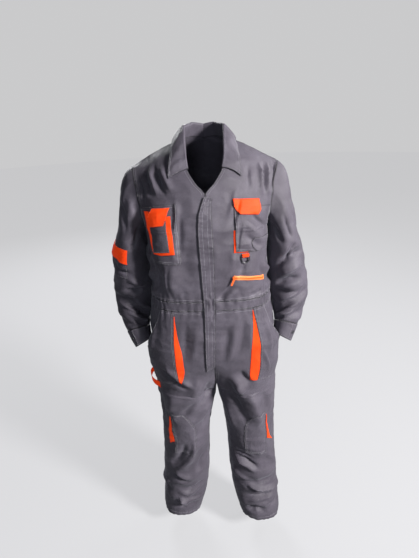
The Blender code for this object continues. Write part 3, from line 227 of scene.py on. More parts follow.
# Largest folds of the cloth. around runs from the front's middle or the inseam (0) over the side seam (1) to the
# back's middle (2); turn is the fold's slope, up towards the side seam; a negative depth is a trough.
FOLDS = (
    # side around level turn length width depth
    (1,   0.62,   330,  -10,  110,  22,   9),
    (1,   0.40,   290,    8,  130,  14,  -7),
    (1,   0.60,   255,  -12,  120,  18,   9),
    (1,   0.70,   215,   12,  110,  14,  -8),
    (1,   0.55,   180,    6,  120,  17,   8),
    (1,   0.50,   420,  -32,  110,  20,  -6),
    (1,   1.40,   300,    6,  130,  22,   8),
    (1,   1.50,   220,   -8,  130,  20,   8),
    (-1,  0.50,   300,  -30,  120,  24,   7),
    (-1,  0.45,   240,   26,  100,  18,  -6),
    (-1,  0.55,   190,   14,  110,  18,   8),
    (-1,  0.50,   150,  -14,   90,  14,  -6),
    (-1,  1.40,   310,   -8,  130,  24,   8),
    (-1,  1.50,   210,   10,  120,  20,   8),
    (1,   0.30,   640,   40,  110,  24,  -6),
    (-1,  0.35,   600,   42,  120,  26,  -6),
    (1,   0.55,  1180,   62,  110,  20,  -5),
    (-1,  0.62,  1180,   70,  110,  20,  -5),
    (1,   1.50,   800,  -30,  110,  26,  -8),
    (-1,  1.50,   800,  -30,  110,  26,  -8),
    (1,   1.35,  1160,   78,  120,  24,   7),
    (-1,  1.35,  1160,   78,  120,  24,   7),
)
# Folds of the sleeves: round is the place round the arm (0 next to the body, 0.25 front, 0.5 outer, 0.75 back).
SLEEVE_FOLDS = (
    # side round level turn length width depth
    (1,   0.30,  1090,   20,   90,  15,   8),
    (1,   0.28,  1055,  -10,  100,  12,  -7),
    (1,   0.30,  1020,   14,  100,  15,   9),
    (1,   0.32,   985,  -12,   90,  12,  -7),
    (1,   0.35,   955,   10,   80,  13,   7),
    (1,   0.40,  1170,  -50,  100,  16,  -7),
    (-1,  0.30,  1095,  -24,   90,  15,   7),
    (-1,  0.28,  1050,   14,  100,  13,  -7),
    (-1,  0.30,  1010,  -16,  100,  15,   8),
    (-1,  0.32,   970,   14,   90,  12,  -6),
    (-1,  0.40,  1180,  -55,  100,  16,  -7),
    (1,   0.75,  1060,    8,   90,  18,   7),
    (-1,  0.75,  1060,    8,   90,  18,   7),
)

# Creases placed one by one. side is the side whose middle edge "around" counts from: 0 front middle or inseam, 1 side
# seam, 2 back middle; a value below 0 or above 2 runs on over the middle. width and depth are in mm, a negative
# depth is a trough; lean above 0 makes the crease steeper on the left of its path.
CREASES = (
    # side width depth lean path of (around, level)
    # right front, below the shoulder
    (-1,  6.0, -5.0,  0.2, ((0.74, 1484), (0.69, 1442), (0.67, 1404))),
    (-1,  6.5, -5.0, -0.2, ((0.52, 1487), (0.43, 1446), (0.41, 1402))),
    (-1,  5.5, -4.0,  0.3, ((0.87, 1466), (0.84, 1420), (0.86, 1380))),
    (-1,  8.0,  4.0,  0.0, ((0.62, 1486), (0.55, 1440), (0.53, 1400))),
    (-1,  9.0,  3.5,  0.2, ((0.39, 1484), (0.32, 1445), (0.29, 1408))),
    (-1, 10.0, -2.5,  0.0, ((0.45, 1216), (0.49, 1160), (0.46, 1100))),
    (-1, 10.0,  3.0,  0.2, ((0.30, 1208), (0.33, 1150), (0.31, 1098))),
    (-1, 12.0, -2.5,  0.0, ((0.15, 1285), (0.17, 1200), (0.14, 1120))),
    (-1,  9.0,  4.0,  0.3, ((0.66, 1190), (0.84, 1142), (1.06, 1128))),
    (-1,  8.0, -4.0,  0.0, ((0.62, 1168), (0.82, 1120), (1.02, 1104))),
    (-1,  8.0,  3.5,  0.3, ((0.48, 1122), (0.70, 1102), (0.92, 1098))),
    (-1, 10.0, -4.0,  0.0, ((0.95, 1270), (0.80, 1245), (0.72, 1200))),
    (-1,  9.0,  4.0,  0.0, ((0.98, 1240), (0.88, 1215), (0.80, 1180))),
    # left front
    (1,   6.0, -6.0, -0.3, ((0.90, 1512), (0.96, 1460), (0.97, 1400))),
    (1,   6.0,  5.0,  0.3, ((0.57, 1489), (0.64, 1440), (0.74, 1390))),
    (1,   6.0,  4.0,  0.0, ((0.76, 1494), (0.81, 1440), (0.91, 1388))),
    (1,   6.0, -3.5,  0.0, ((0.67, 1490), (0.73, 1440), (0.82, 1392))),
    (1,   8.0, -3.0,  0.2, ((0.36, 1478), (0.40, 1440), (0.48, 1405))),
    (1,   9.0,  3.0,  0.2, ((0.30, 1330), (0.45, 1292), (0.62, 1262))),
    (1,   8.0, -3.0,  0.0, ((0.42, 1352), (0.58, 1318), (0.74, 1296))),
    (1,   8.0, -3.0,  0.0, ((0.30, 1290), (0.44, 1258), (0.60, 1240))),
    (1,   5.0, -4.5, -0.3, ((0.165, 1136), (0.12, 1112), (0.04, 1087))),
    (1,   7.0,  3.0,  0.0, ((0.20, 1126), (0.15, 1103), (0.08, 1086))),
    (1,   6.0, -3.5,  0.2, ((0.58, 1104), (0.44, 1094), (0.33, 1094))),
    (1,   9.0,  4.0,  0.2, ((0.55, 1205), (0.76, 1160), (1.02, 1140))),
    (1,   8.0, -4.0,  0.0, ((0.50, 1180), (0.72, 1132), (0.98, 1112))),
    (1,   8.0,  3.5,  0.3, ((0.60, 1118), (0.80, 1100), (1.04, 1098))),
    (1,   9.0, -4.5,  0.0, ((0.96, 1280), (0.84, 1240), (0.78, 1190))),
    # pulls beside the placket and below the right pocket
    (1,   5.0, -2.4,  0.2, ((0.35, 1402), (0.26, 1350), (0.18, 1300))),
    (1,   4.5,  2.2,  0.0, ((0.30, 1424), (0.23, 1372), (0.16, 1334))),
    (1,   5.0, -2.6,  0.2, ((0.30, 1332), (0.24, 1270), (0.19, 1206))),
    (1,   4.5,  2.2,  0.0, ((0.25, 1296), (0.20, 1240), (0.17, 1176))),
    (1,   4.5, -2.2,  0.0, ((0.36, 1246), (0.29, 1196), (0.24, 1150))),
    (-1,  6.0, -2.8,  0.2, ((0.53, 1196), (0.56, 1150), (0.55, 1104))),
    (-1,  5.5,  2.4,  0.2, ((0.38, 1204), (0.41, 1150), (0.39, 1098))),
    (-1,  5.0, -2.6,  0.0, ((0.23, 1364), (0.20, 1290), (0.23, 1222))),
    (-1,  5.0,  2.4,  0.2, ((0.29, 1404), (0.25, 1344), (0.26, 1290))),
    # hips and fork
    (-1,  8.0, -5.5,  0.0, ((0.64, 830), (0.47, 776), (0.37, 740))),
    (-1,  8.0,  4.5,  0.2, ((0.56, 838), (0.40, 788), (0.29, 752))),
    (-1,  8.0, -6.0,  0.2, ((0.06, 776), (0.16, 740), (0.37, 686))),
    (-1, 10.0,  5.0,  0.0, ((0.11, 806), (0.28, 752), (0.50, 690))),
    (-1,  7.0, -4.0,  0.0, ((0.10, 738), (0.24, 700), (0.42, 640))),
    (1,   8.0, -6.0, -0.2, ((0.07, 780), (0.21, 744), (0.41, 672))),
    (1,  10.0,  5.0,  0.0, ((0.12, 806), (0.30, 756), (0.50, 696))),
    (1,   7.0, -4.0,  0.0, ((0.12, 742), (0.26, 704), (0.40, 640))),
    (1,   7.0,  2.6,  0.2, ((0.20, 1030), (0.16, 930), (0.10, 838))),
    (1,   6.0, -2.4,  0.0, ((0.28, 1034), (0.25, 950), (0.20, 862))),
    (1,   6.0,  2.2,  0.2, ((0.36, 1030), (0.35, 960), (0.33, 880))),
    (1,   8.0, -6.0,  0.2, ((0.23, 824), (0.33, 786), (0.47, 760))),
    (1,   8.0,  5.0,  0.0, ((0.24, 764), (0.33, 746), (0.43, 736))),
    (1,   7.0, -3.0,  0.0, ((0.13, 1010), (0.10, 920), (0.08, 850))),
    (1,   6.0,  3.0,  0.2, ((0.56, 1010), (0.62, 930), (0.66, 850))),
    (1,   6.0, -3.0,  0.0, ((0.62, 1020), (0.72, 950), (0.80, 890))),
    (1,   5.0,  2.6,  0.2, ((0.50, 900), (0.60, 840), (0.66, 790))),
    (-1,  7.0, -2.6,  0.0, ((0.20, 1026), (0.24, 930), (0.28, 850))),
    (-1,  6.0,  2.4,  0.2, ((0.60, 1020), (0.66, 940), (0.72, 870))),
    (-1,  6.0, -2.6,  0.0, ((0.70, 1016), (0.78, 930), (0.82, 850))),
    (-1,  6.0,  2.2,  0.2, ((0.12, 1010), (0.15, 920), (0.21, 850))),
    # thighs
    (1,  13.0,  7.0,  0.2, ((0.44, 732), (0.56, 671), (0.62, 550))),
    (1,  14.0, -6.0,  0.0, ((0.28, 722), (0.38, 640), (0.44, 556))),
    (1,  10.0, -5.0,  0.0, ((0.62, 720), (0.72, 660), (0.74, 590))),
    (1,  10.0,  4.0,  0.0, ((0.16, 660), (0.24, 600), (0.26, 530))),
    (-1, 10.0, -4.5,  0.0, ((0.37, 690), (0.50, 640), (0.64, 596))),
    (-1, 12.0,  4.5,  0.2, ((0.20, 664), (0.30, 610), (0.42, 566))),
    (-1, 12.0,  4.0,  0.0, ((0.60, 720), (0.70, 660), (0.76, 620))),
    (-1, 10.0, -4.0,  0.0, ((0.14, 640), (0.20, 570), (0.24, 520))),
    (-1, 10.0, -4.0,  0.0, ((0.82, 720), (0.86, 640), (0.84, 560))),
    # knees and shins, right
    (-1, 10.0,  6.8,  0.3, ((0.38, 516), (0.41, 432), (0.66, 334))),
    (-1, 11.0, -7.0,  0.0, ((0.50, 506), (0.56, 430), (0.76, 352))),
    (-1,  7.0, -5.5,  0.2, ((0.72, 326), (0.58, 300), (0.43, 288))),
    (-1,  7.0,  5.0,  0.2, ((0.70, 346), (0.56, 320), (0.42, 310))),
    (-1,  6.0,  7.0,  0.4, ((0.60, 212), (0.52, 180), (0.43, 146))),
    (-1,  5.5, -6.5,  0.0, ((0.66, 200), (0.57, 166), (0.47, 130))),
    (-1,  8.0, -4.5,  0.0, ((0.22, 276), (0.36, 246), (0.54, 238))),
    (-1,  8.0,  4.5,  0.2, ((0.26, 242), (0.44, 222), (0.64, 236))),
    (-1,  7.0, -4.0,  0.0, ((0.20, 186), (0.32, 190), (0.46, 204))),
    (-1,  9.0, -4.0,  0.0, ((0.16, 420), (0.28, 380), (0.34, 330))),
    (-1,  8.0,  4.0,  0.0, ((0.74, 280), (0.86, 262), (1.04, 268))),
    (-1,  8.0, -4.0,  0.0, ((0.72, 250), (0.88, 226), (1.08, 232))),
    # knees and shins, left
    (1,   6.5, -7.4,  0.2, ((0.18, 420), (0.38, 402), (0.57, 366))),
    (1,   6.5,  6.4,  0.2, ((0.20, 396), (0.40, 380), (0.56, 346))),
    (1,   6.0, -4.5,  0.0, ((0.15, 432), (0.34, 424), (0.54, 394))),
    (1,   6.5,  7.4,  0.3, ((0.31, 290), (0.60, 266), (1.02, 240))),
    (1,   6.0, -7.2,  0.2, ((0.34, 278), (0.58, 248), (0.82, 232))),
    (1,   6.5,  7.0,  0.3, ((0.32, 192), (0.55, 208), (0.82, 206))),
    (1,  14.0, -7.0,  0.0, ((0.29, 120), (0.44, 158), (0.60, 124))),
    (1,   6.5, -6.2,  0.0, ((0.34, 226), (0.52, 226), (0.70, 218))),
    (1,   8.0,  5.0,  0.0, ((0.10, 340), (0.28, 326), (0.46, 300))),
    (1,   7.0, -4.0,  0.0, ((0.62, 178), (0.78, 160), (0.94, 172))),
    (1,   9.0,  4.0,  0.0, ((0.70, 420), (0.82, 380), (0.90, 330))),
    # back of the body
    (-1, 12.0, -5.0,  0.2, ((1.42, 1430), (1.32, 1345), (1.20, 1288))),
    (-1, 12.0,  4.5,  0.0, ((1.58, 1400), (1.46, 1330), (1.36, 1270))),
    (-1, 10.0, -4.0,  0.0, ((1.10, 1400), (1.12, 1340), (1.16, 1300))),
    (1,  12.0, -5.0, -0.2, ((1.44, 1424), (1.30, 1352), (1.22, 1280))),
    (1,  12.0,  4.5,  0.0, ((1.62, 1392), (1.50, 1320), (1.40, 1262))),
    (1,  10.0, -4.0,  0.0, ((1.12, 1396), (1.10, 1334), (1.14, 1302))),
    (1,  11.0,  3.5,  0.0, ((1.70, 1366), (1.98, 1352), (2.32, 1368))),
    (1,  12.0, -3.5,  0.0, ((1.66, 1338), (2.02, 1322), (2.30, 1340))),
    (1,  13.0,  6.0,  0.3, ((1.12, 1126), (1.48, 1108), (1.90, 1116), (2.30, 1108), (2.80, 1124))),
    (1,  10.0, -4.5,  0.0, ((1.20, 1098), (1.60, 1093), (1.96, 1098), (2.40, 1092), (2.74, 1100))),
    (1,  12.0,  5.0,  0.2, ((1.22, 1176), (1.54, 1150), (1.86, 1164))),
    (-1, 12.0,  5.0,  0.2, ((1.16, 1184), (1.44, 1152), (1.80, 1158))),
    (1,  10.0, -4.0,  0.0, ((1.30, 1200), (1.60, 1184), (1.88, 1192))),
    (-1, 10.0, -4.0,  0.0, ((1.26, 1212), (1.52, 1186), (1.84, 1190))),
    # seat
    (1,  12.0, -3.6,  0.0, ((1.88, 800), (1.64, 832), (1.34, 808))),
    (-1, 12.0, -3.6,  0.0, ((1.80, 776), (1.52, 812), (1.22, 816))),
    (1,  10.0, -4.0,  0.2, ((1.92, 734), (1.68, 706), (1.46, 712))),
    (-1, 10.0, -4.0,  0.2, ((1.90, 722), (1.66, 722), (1.38, 700))),
    (1,  10.0,  3.4,  0.0, ((1.80, 766), (1.58, 742), (1.36, 752))),
    (-1, 10.0,  3.4,  0.0, ((1.88, 750), (1.66, 760), (1.42, 742))),
    (1,   9.0,  3.0,  0.0, ((1.72, 1030), (1.64, 950), (1.66, 890))),
    (-1,  9.0,  3.0,  0.0, ((1.62, 1036), (1.58, 960), (1.50, 880))),
    (1,   9.0, -3.0,  0.0, ((1.46, 1036), (1.42, 970), (1.32, 910))),
    (-1,  9.0, -3.0,  0.0, ((1.80, 1030), (1.76, 960), (1.78, 900))),
    (-1,  8.0,  2.6,  0.0, ((1.24, 1034), (1.26, 960), (1.20, 890))),
    # backs of the knees and calves
    (1,   8.0, -3.6,  0.2, ((1.24, 572), (1.42, 540), (1.66, 546))),
    (1,   7.0,  3.0,  0.0, ((1.40, 566), (1.58, 524), (1.76, 512))),
    (1,   8.0, -3.4,  0.0, ((1.16, 520), (1.36, 498), (1.52, 506))),
    (1,   7.0,  2.6,  0.0, ((1.52, 484), (1.66, 470), (1.80, 478))),
    (-1,  9.0, -3.8,  0.2, ((1.30, 590), (1.50, 552), (1.80, 556))),
    (-1,  7.0,  3.0,  0.0, ((1.20, 556), (1.38, 530), (1.54, 538))),
    (-1,  8.0, -3.2,  0.0, ((1.44, 520), (1.62, 498), (1.78, 508))),
    (-1,  8.0,  2.6,  0.0, ((1.16, 502), (1.30, 474), (1.50, 468))),
    (1,   8.0,  3.2,  0.3, ((1.14, 352), (1.34, 312), (1.60, 300))),
    (1,   8.0, -3.2,  0.0, ((1.36, 318), (1.54, 278), (1.78, 262))),
    (1,   7.0,  3.0,  0.3, ((1.10, 250), (1.30, 222), (1.48, 226))),
    (1,   7.0, -2.8,  0.0, ((1.46, 208), (1.62, 186), (1.80, 196))),
    (-1,  8.0,  3.4,  0.3, ((1.20, 330), (1.46, 306), (1.78, 322))),
    (-1,  8.0, -3.0,  0.0, ((1.12, 300), (1.30, 270), (1.50, 262))),
    (-1,  7.0,  3.0,  0.3, ((1.36, 262), (1.56, 232), (1.80, 240))),
    (-1,  7.0, -2.6,  0.0, ((1.10, 226), (1.28, 196), (1.46, 186))),
    (1,  11.0,  3.0,  0.0, ((1.34, 700), (1.44, 640), (1.40, 600))),
    (-1, 11.0,  3.0,  0.0, ((1.52, 690), (1.42, 650), (1.44, 604))),
    (1,  10.0, -2.8,  0.0, ((1.70, 676), (1.60, 636), (1.62, 590))),
    (-1, 10.0, -2.8,  0.0, ((1.60, 660), (1.70, 626), (1.66, 576))),
)
# Creases of the sleeves: turn is the place round the arm, from next to the body (0) over the front.
SLEEVE_CREASES = (
    # side width depth lean path of (turn, level)
    (1,   9.0, -8.0,  0.2, ((0.48, 1202), (0.25, 1184), (0.10, 1138))),
    (1,   9.0,  6.0,  0.2, ((0.37, 1164), (0.26, 1146), (0.15, 1120))),
    (1,   8.5, -8.0,  0.2, ((0.35, 1112), (0.23, 1102), (0.11, 1078))),
    (1,   9.0,  6.0,  0.3, ((0.38, 1058), (0.25, 1046), (0.10, 1020))),
    (1,   6.0, -6.5,  0.2, ((0.32, 1025), (0.20, 1008), (0.01, 966))),
    (1,   6.0,  5.0,  0.0, ((0.34, 1000), (0.20, 986), (0.05, 968))),
    (1,   5.0, -4.5,  0.0, ((0.19, 976), (0.12, 964), (0.03, 952))),
    (1,   8.0, -4.0,  0.0, ((0.26, 1326), (0.29, 1284), (0.30, 1236))),
    (1,  10.0,  3.5,  0.0, ((0.40, 1366), (0.43, 1310), (0.47, 1262))),
    (1,   8.0, -4.5,  0.0, ((0.12, 1300), (0.16, 1270), (0.22, 1228))),
    (-1,  6.5,  5.5,  0.3, ((0.27, 1138), (0.20, 1120), (0.12, 1094))),
    (-1,  6.5,  5.5,  0.3, ((0.27, 1062), (0.19, 1078), (0.13, 1094))),
    (-1,  6.0, -6.0,  0.0, ((0.30, 1100), (0.22, 1092), (0.15, 1090))),
    (-1,  6.5,  5.5,  0.3, ((0.27, 1066), (0.14, 1026), (0.00, 984))),
    (-1,  6.0, -6.5,  0.0, ((0.30, 1042), (0.16, 1008), (0.02, 972))),
    (-1,  6.0,  5.0,  0.3, ((0.30, 1012), (0.16, 986), (0.02, 962))),
    (-1,  5.5, -5.0,  0.0, ((0.28, 990), (0.16, 968), (0.04, 954))),
    (-1,  9.0, -4.5,  0.0, ((0.47, 1380), (0.34, 1336), (0.26, 1284))),
    (-1,  9.0,  2.0,  0.0, ((0.37, 1410), (0.27, 1360), (0.20, 1304))),
    (-1,  8.0, -4.0,  0.0, ((0.14, 1304), (0.18, 1262), (0.24, 1226))),
    (1,   5.5, -4.2,  0.0, ((0.36, 1234), (0.28, 1212), (0.19, 1166))),
    (1,   5.5,  3.8,  0.2, ((0.44, 1092), (0.32, 1078), (0.18, 1054))),
    (-1,  5.5, -3.8,  0.0, ((0.44, 1180), (0.34, 1166), (0.20, 1150))),
    (-1,  5.0,  3.2,  0.2, ((0.42, 1048), (0.30, 1030), (0.16, 1004))),
    # outer sides and backs
    (1,   9.0, -5.0,  0.0, ((0.52, 1128), (0.62, 1116), (0.76, 1122))),
    (1,   9.0,  4.5,  0.2, ((0.54, 1090), (0.68, 1074), (0.86, 1082))),
    (1,   8.0, -5.0,  0.0, ((0.50, 1056), (0.66, 1044), (0.88, 1050))),
    (1,   8.0,  4.5,  0.2, ((0.48, 1020), (0.66, 1006), (0.88, 1016))),
    (1,   7.0, -4.5,  0.0, ((0.46, 990), (0.62, 978), (0.82, 986))),
    (1,   9.0,  4.0,  0.0, ((0.62, 1330), (0.72, 1270), (0.82, 1220))),
    (1,   9.0, -4.0,  0.0, ((0.72, 1350), (0.84, 1290), (0.90, 1240))),
    (-1,  9.0, -5.0,  0.0, ((0.54, 1118), (0.68, 1104), (0.84, 1110))),
    (-1,  9.0,  4.5,  0.2, ((0.52, 1084), (0.66, 1066), (0.84, 1074))),
    (-1,  8.0, -5.0,  0.0, ((0.52, 1046), (0.70, 1030), (0.90, 1040))),
    (-1,  8.0,  4.5,  0.2, ((0.48, 1008), (0.66, 996), (0.84, 1004))),
    (-1,  7.0, -4.5,  0.0, ((0.50, 980), (0.64, 968), (0.84, 978))),
    (-1,  9.0,  4.0,  0.0, ((0.64, 1336), (0.70, 1276), (0.80, 1216))),
    (-1,  9.0, -4.0,  0.0, ((0.74, 1344), (0.80, 1286), (0.90, 1232))),
)

L0 = 0.4  # lift of a patch on the panel, mm
L1 = 2.2  # of a patch on a patch

PATCHES = {
    # name: (material, steps across and between rows, bulge, rows of xa za lift xb zb lift)
    "chest_patch_right": ("cloth_grey", (1, 1), 0.0, (
        (-185, 1206, L0, -82, 1205, L0),
        (-187, 1290, L0, -85, 1290, L0),
        (-200, 1360, L0, -87, 1378, L0))),
    "phone_gusset_right": ("cloth_orange", (1, 1), 0.0, (
        (-182, 1352, L1, -166, 1354, L1 + 1.6),
        (-175, 1303, L1, -156, 1305, L1 + 2.6),
        (-167, 1262, L1, -154, 1264, L1 + 2.8),
        (-161, 1233, L1, -150, 1248, L1 + 2.8),
        (-139, 1231, L1, -136, 1246, L1 + 2.8),
        (-99, 1237, L1, -120, 1252, L1 + 2.8),
        (-102, 1291, L1, -122, 1291, L1 + 2.6),
        (-105, 1346, L1, -124, 1344, L1 + 1.6))),
    "phone_pocket_right": ("cloth_grey", (3, 1), 1.6, (
        (-158, 1237, L1 + 4.8, -112, 1244, L1 + 4.8),
        (-159, 1285, L1 + 4.8, -114, 1286, L1 + 4.8),
        (-160, 1334, L1 + 4.4, -117, 1334, L1 + 4.4))),
    "phone_flap_right": ("cloth_orange", (3, 1), 0.0, (
        (-157, 1315, L1 + 9.6, -123, 1321, L1 + 9.6),
        (-163, 1324, L1 + 9.4, -118, 1333, L1 + 9.0),
        (-163, 1339, L1 + 8.6, -112, 1347, L1 + 7.8),
        (-160, 1350, L1 + 6.8, -109, 1357, L1 + 5.8),
        (-156, 1363, L1, -105, 1368, L1))),
    "chest_pocket_left": ("cloth_grey", (2, 1), 0.0, (
        (74, 1238, L0 + 2.8, 170, 1226, L0),
        (73, 1300, L0 + 2.8, 172, 1292, L0),
        (71, 1366, L0 + 1.0, 180, 1354, L0))),
    "chest_gusset_left": ("cloth_orange", (1, 1), 0.0, (
        (68.5, 1300, L0, 77, 1300, L0 + 0.3),
        (68, 1235.5, L0, 78, 1246, L0 + 0.3),
        (111, 1231.5, L0, 109, 1243, L0 + 0.3))),
    "chest_flap_left": ("cloth_orange", (3, 1), 0.0, (
        (87, 1344, L1 + 3.6, 138, 1337, L1 + 2.6),
        (78, 1354, L1 + 3.6, 145, 1348, L1 + 2.6),
        (70, 1365, L1 + 3.4, 145, 1358, L1 + 2.4),
        (67, 1386, L0, 143, 1379, L0))),
    "pen_patch_left": ("cloth_grey", (2, 1), 0.0, (
        (133, 1234, L1 + 1.6, 168, 1227, L1 + 0.6),
        (124, 1244, L1 + 1.9, 169, 1239, L1 + 0.6),
        (119, 1257, L1 + 2.0, 170, 1252, L1 + 0.6),
        (127, 1273, L1 + 1.8, 170, 1267, L1 + 0.6))),
    "zip_tape_left": ("cloth_orange", (1, 1), 0.0, (
        (67, 1152, L0, 166, 1131, L0),
        (67, 1165.5, L0, 166, 1143.5, L0))),
    "knee_patch_right": ("cloth_grey", (1, 1), 0.0, (
        (-152, 440, L0, -74, 430, L0),
        (-147.6, 498, L0, -71, 495, L0),
        (-155.4, 545, L0, -68, 545, L0),
        (-159.4, 607, L0, -96, 604, L0),
        (-156, 624, L0, -118, 620, L0))),
    "knee_patch_left": ("cloth_grey", (1, 1), 0.0, (
        (100, 430, L0, 180, 428, L0),
        (98, 495, L0, 178, 497, L0),
        (98, 550, L0, 176, 552, L0),
        (110, 592, L0, 174, 592, L0),
        (136, 622, L0, 172, 622, L0))),
    "knee_gusset_right": ("cloth_orange", (1, 1), 0.0, (
        (-169, 477, L0, -149, 498, L0 + 0.6),
        (-168, 545, L0, -156.8, 545, L0 + 0.6),
        (-165, 608, L0, -160.8, 607, L0 + 0.4))),
    "knee_gusset_left": ("cloth_orange", (1, 1), 0.0, (
        (180.4, 496, L0 + 0.6, 204, 468, L0),
        (179.6, 515, L0 + 0.6, 190, 504, L0),
        (178.2, 545, L0 + 0.6, 184, 542, L0),
        (175.4, 606, L0 + 0.3, 178, 606, L0))),
}

PLACKET = (
    # z, right edge x, left edge x
    (818, -26, -16),
    (838, -27, 3),
    (948, -26, 8),
    (1052, -25, 10),
    (1160, -28, 12),
    (1250, -31, 12),
    (1307, -32, 10),
    (1350, -28, 9),
    (1378, -18, 10),
    (1394, -11, 12),
)

# Hip pockets: the seam beside the orange gusset, which is the pocket's inner edge, and the gusset's other edge.
HIP_SEAM = {
    # side: rows of height, pocket edge x, gusset's other edge x
    -1: ((772, 114, 111), (800, 120, 102), (829, 124, 98), (890, 124.5, 102), (967, 122, 112), (1028, 118, 115.5),
         (1051, 117, 115)),
    1: ((766, 140, 117), (800, 147, 116), (829, 149, 117), (909, 148, 121), (987, 136, 124), (1043, 125, 122.5),
        (1051, 124, 122)),
}
HIP_GUSSET_TOP = {-1: 1034, 1: 1044}
HIP_GUSSET_GAP = 0.003  # between the gusset and the pocket's edge, as a share of the row
HIP_MOUTH = (
    # share of the way from the gusset to the side seam, level of the pocket's upper edge
    (0.00, 1051.4), (0.30, 1051.4), (0.36, 1018), (0.50, 962), (0.68, 903), (0.84, 868), (1.00, 840),
)
HIP_FOOT = ((0.00, 774), (0.50, 762), (1.00, 748))
HIP_FULLNESS = (
    # share of the way, how far the pocket stands off over the hand's room, mm
    (0.00, 5), (0.30, 10), (0.50, 17), (0.68, 22), (0.84, 15), (1.00, 0),
)
HIP_HEIGHT = (
    # level, share of that
    (745, 0.0), (785, 0.15), (820, 0.45), (870, 0.88), (910, 1.0), (960, 0.75), (1000, 0.4), (1052, 0.0),
)
SLEEVE_POCKET = (
    # turn, ring of the sleeve table, lift, and the same at the other end
    (0.262, 2.15, L0, 0.52, 1.95, L0),
    (0.262, 1.40, L0, 0.52, 1.20, L0),
    (0.264, 1.00, L0, 0.52, 0.72, L0),
)
SLEEVE_FLAP = (
    (0.255, 1.36, L1 + 1.0, 0.53, 1.04, L1 + 1.0),
    (0.255, 0.98, L1 + 0.8, 0.53, 0.70, L1 + 0.8),
    (0.255, 0.62, L0, 0.53, 0.32, L0),
)
COLLAR = (
    # along the neckline from its front end (0) to the middle of the back (1): how high the collar stands, how far
    # its fold lies out, and where its free edge rests: around the body, at which level, how far off it, in mm
    (0.00,  3,  3, 0.270, 1446, 3.0),
    (0.12, 11,  5, 0.250, 1462, 4.0),
    (0.26, 22,  6, 0.215, 1484, 5.0),
    (0.42, 32,  7, 0.170, 1512, 6.0),
    (0.54, 35,  7, 0.135, 1532, 7.0),
)
COLLAR_BACK = (
    (0.54, 35,  7, 0.135, 1532, 7.0),
    (0.66, 36,  8, 0.130, 1494, 8.0),
    (0.82, 37,  8, 0.100, 1455, 8.0),
    (1.00, 37,  8, 0.000, 1449, 8.0),
)
SHOULDER_ALONG = 0.54
NAPE_TURN = 0.66  # where the back of the collar turns round from the neck's side
STAND_LEAN = 0.36  # of the collar's stand towards the neck
TOOL_LOOP = (
    # around, level, lift: the strap's middle line on the wearer's right thigh, across the side seam
    (0.80, 735, L0), (0.815, 735, 1.0), (0.85, 736, 7.0), (0.89, 738, 12.5), (0.93, 741, 16.0),
    (0.975, 744, 16.0), (1.02, 746, 12.0), (1.05, 747, 6.0), (1.07, 748, 1.0), (1.085, 748, L0),
)
TOOL_LOOP_HALF_WIDTH = 11


# ---------------------------------------------------------------- maths

def spline(rows, at):
    """Smooth values of every column but the first, without overshoot; the first column is the key."""
    rows = np.array(rows, float)
    keys, values = rows[:, 0], rows[:, 1:]
    chord = np.diff(values, axis=0) / np.diff(keys)[:, None]
    slope = np.vstack([chord[:1], np.zeros_like(chord[1:]), chord[-1:]])
    before, after = chord[:-1], chord[1:]
    same_way = before * after > 0
    slope[1:-1] = np.where(same_way, 2 * before * after / np.where(same_way, before + after, 1), 0)
    at = np.clip(np.asarray(at, float), keys[0], keys[-1])
    i = np.clip(np.searchsorted(keys, at, side="right") - 1, 0, len(keys) - 2)
    span = (keys[i + 1] - keys[i])[..., None]
    u = (at - keys[i])[..., None] / span
    return ((2 * u**3 - 3 * u**2 + 1) * values[i] + (u**3 - 2 * u**2 + u) * span * slope[i]
            + (3 * u**2 - 2 * u**3) * values[i + 1] + (u**3 - u**2) * span * slope[i + 1])


def unit(vectors):
    return vectors / np.maximum(np.linalg.norm(vectors, axis=-1, keepdims=True), 1e-12)


def ease(value):
    value = np.clip(value, 0, 1)
    return value * value * (3 - 2 * value)


def fold_shape(along, off, length, width, depth):
    taper = np.clip(1 - (along / length) ** 2, 0, 1) ** 2
    return depth * taper * np.exp(-(off / width) ** 2)


LATTICE = np.random.default_rng(7).random((32, 32, 32))


def soft_noise(places, size):
    """Smooth noise from -1 to 1 with blobs of about that size; places are (x, y, z) in the same unit."""
    cell = np.floor(places / size).astype(int)
    u = ease(places / size - cell)
    total = 0.0
    for i in (0, 1):
        for j in (0, 1):
            for k in (0, 1):
                share = (np.where(i, u[..., 0], 1 - u[..., 0]) * np.where(j, u[..., 1], 1 - u[..., 1])
                         * np.where(k, u[..., 2], 1 - u[..., 2]))
                value = LATTICE[(cell[..., 0] + i) % 32, (cell[..., 1] + j) % 32, (cell[..., 2] + k) % 32]
                total = total + share * value
    return total * 2 - 1


CRUMPLE = (
    # size of the blobs and height, in mm
    (60, 3.0),
    (30, 1.3),
    (14, 0.4),
)


def crumple(places):
    """Small dents and soft ridges of worn cloth, in mm."""
    total = np.zeros(places.shape[:-1])
    for number, (size, height) in enumerate(CRUMPLE):
        shifted = places + np.array([311.0, 87.0, 53.0]) * (number + 1)
        squeezed = shifted * np.array([1.0, 1.0, 1.35])
        total += height * (0.45 - 1.3 * np.abs(soft_noise(squeezed, size)))
    return total


WIDER, DEEPER = 1.15, 2.0  # of every crease in the tables


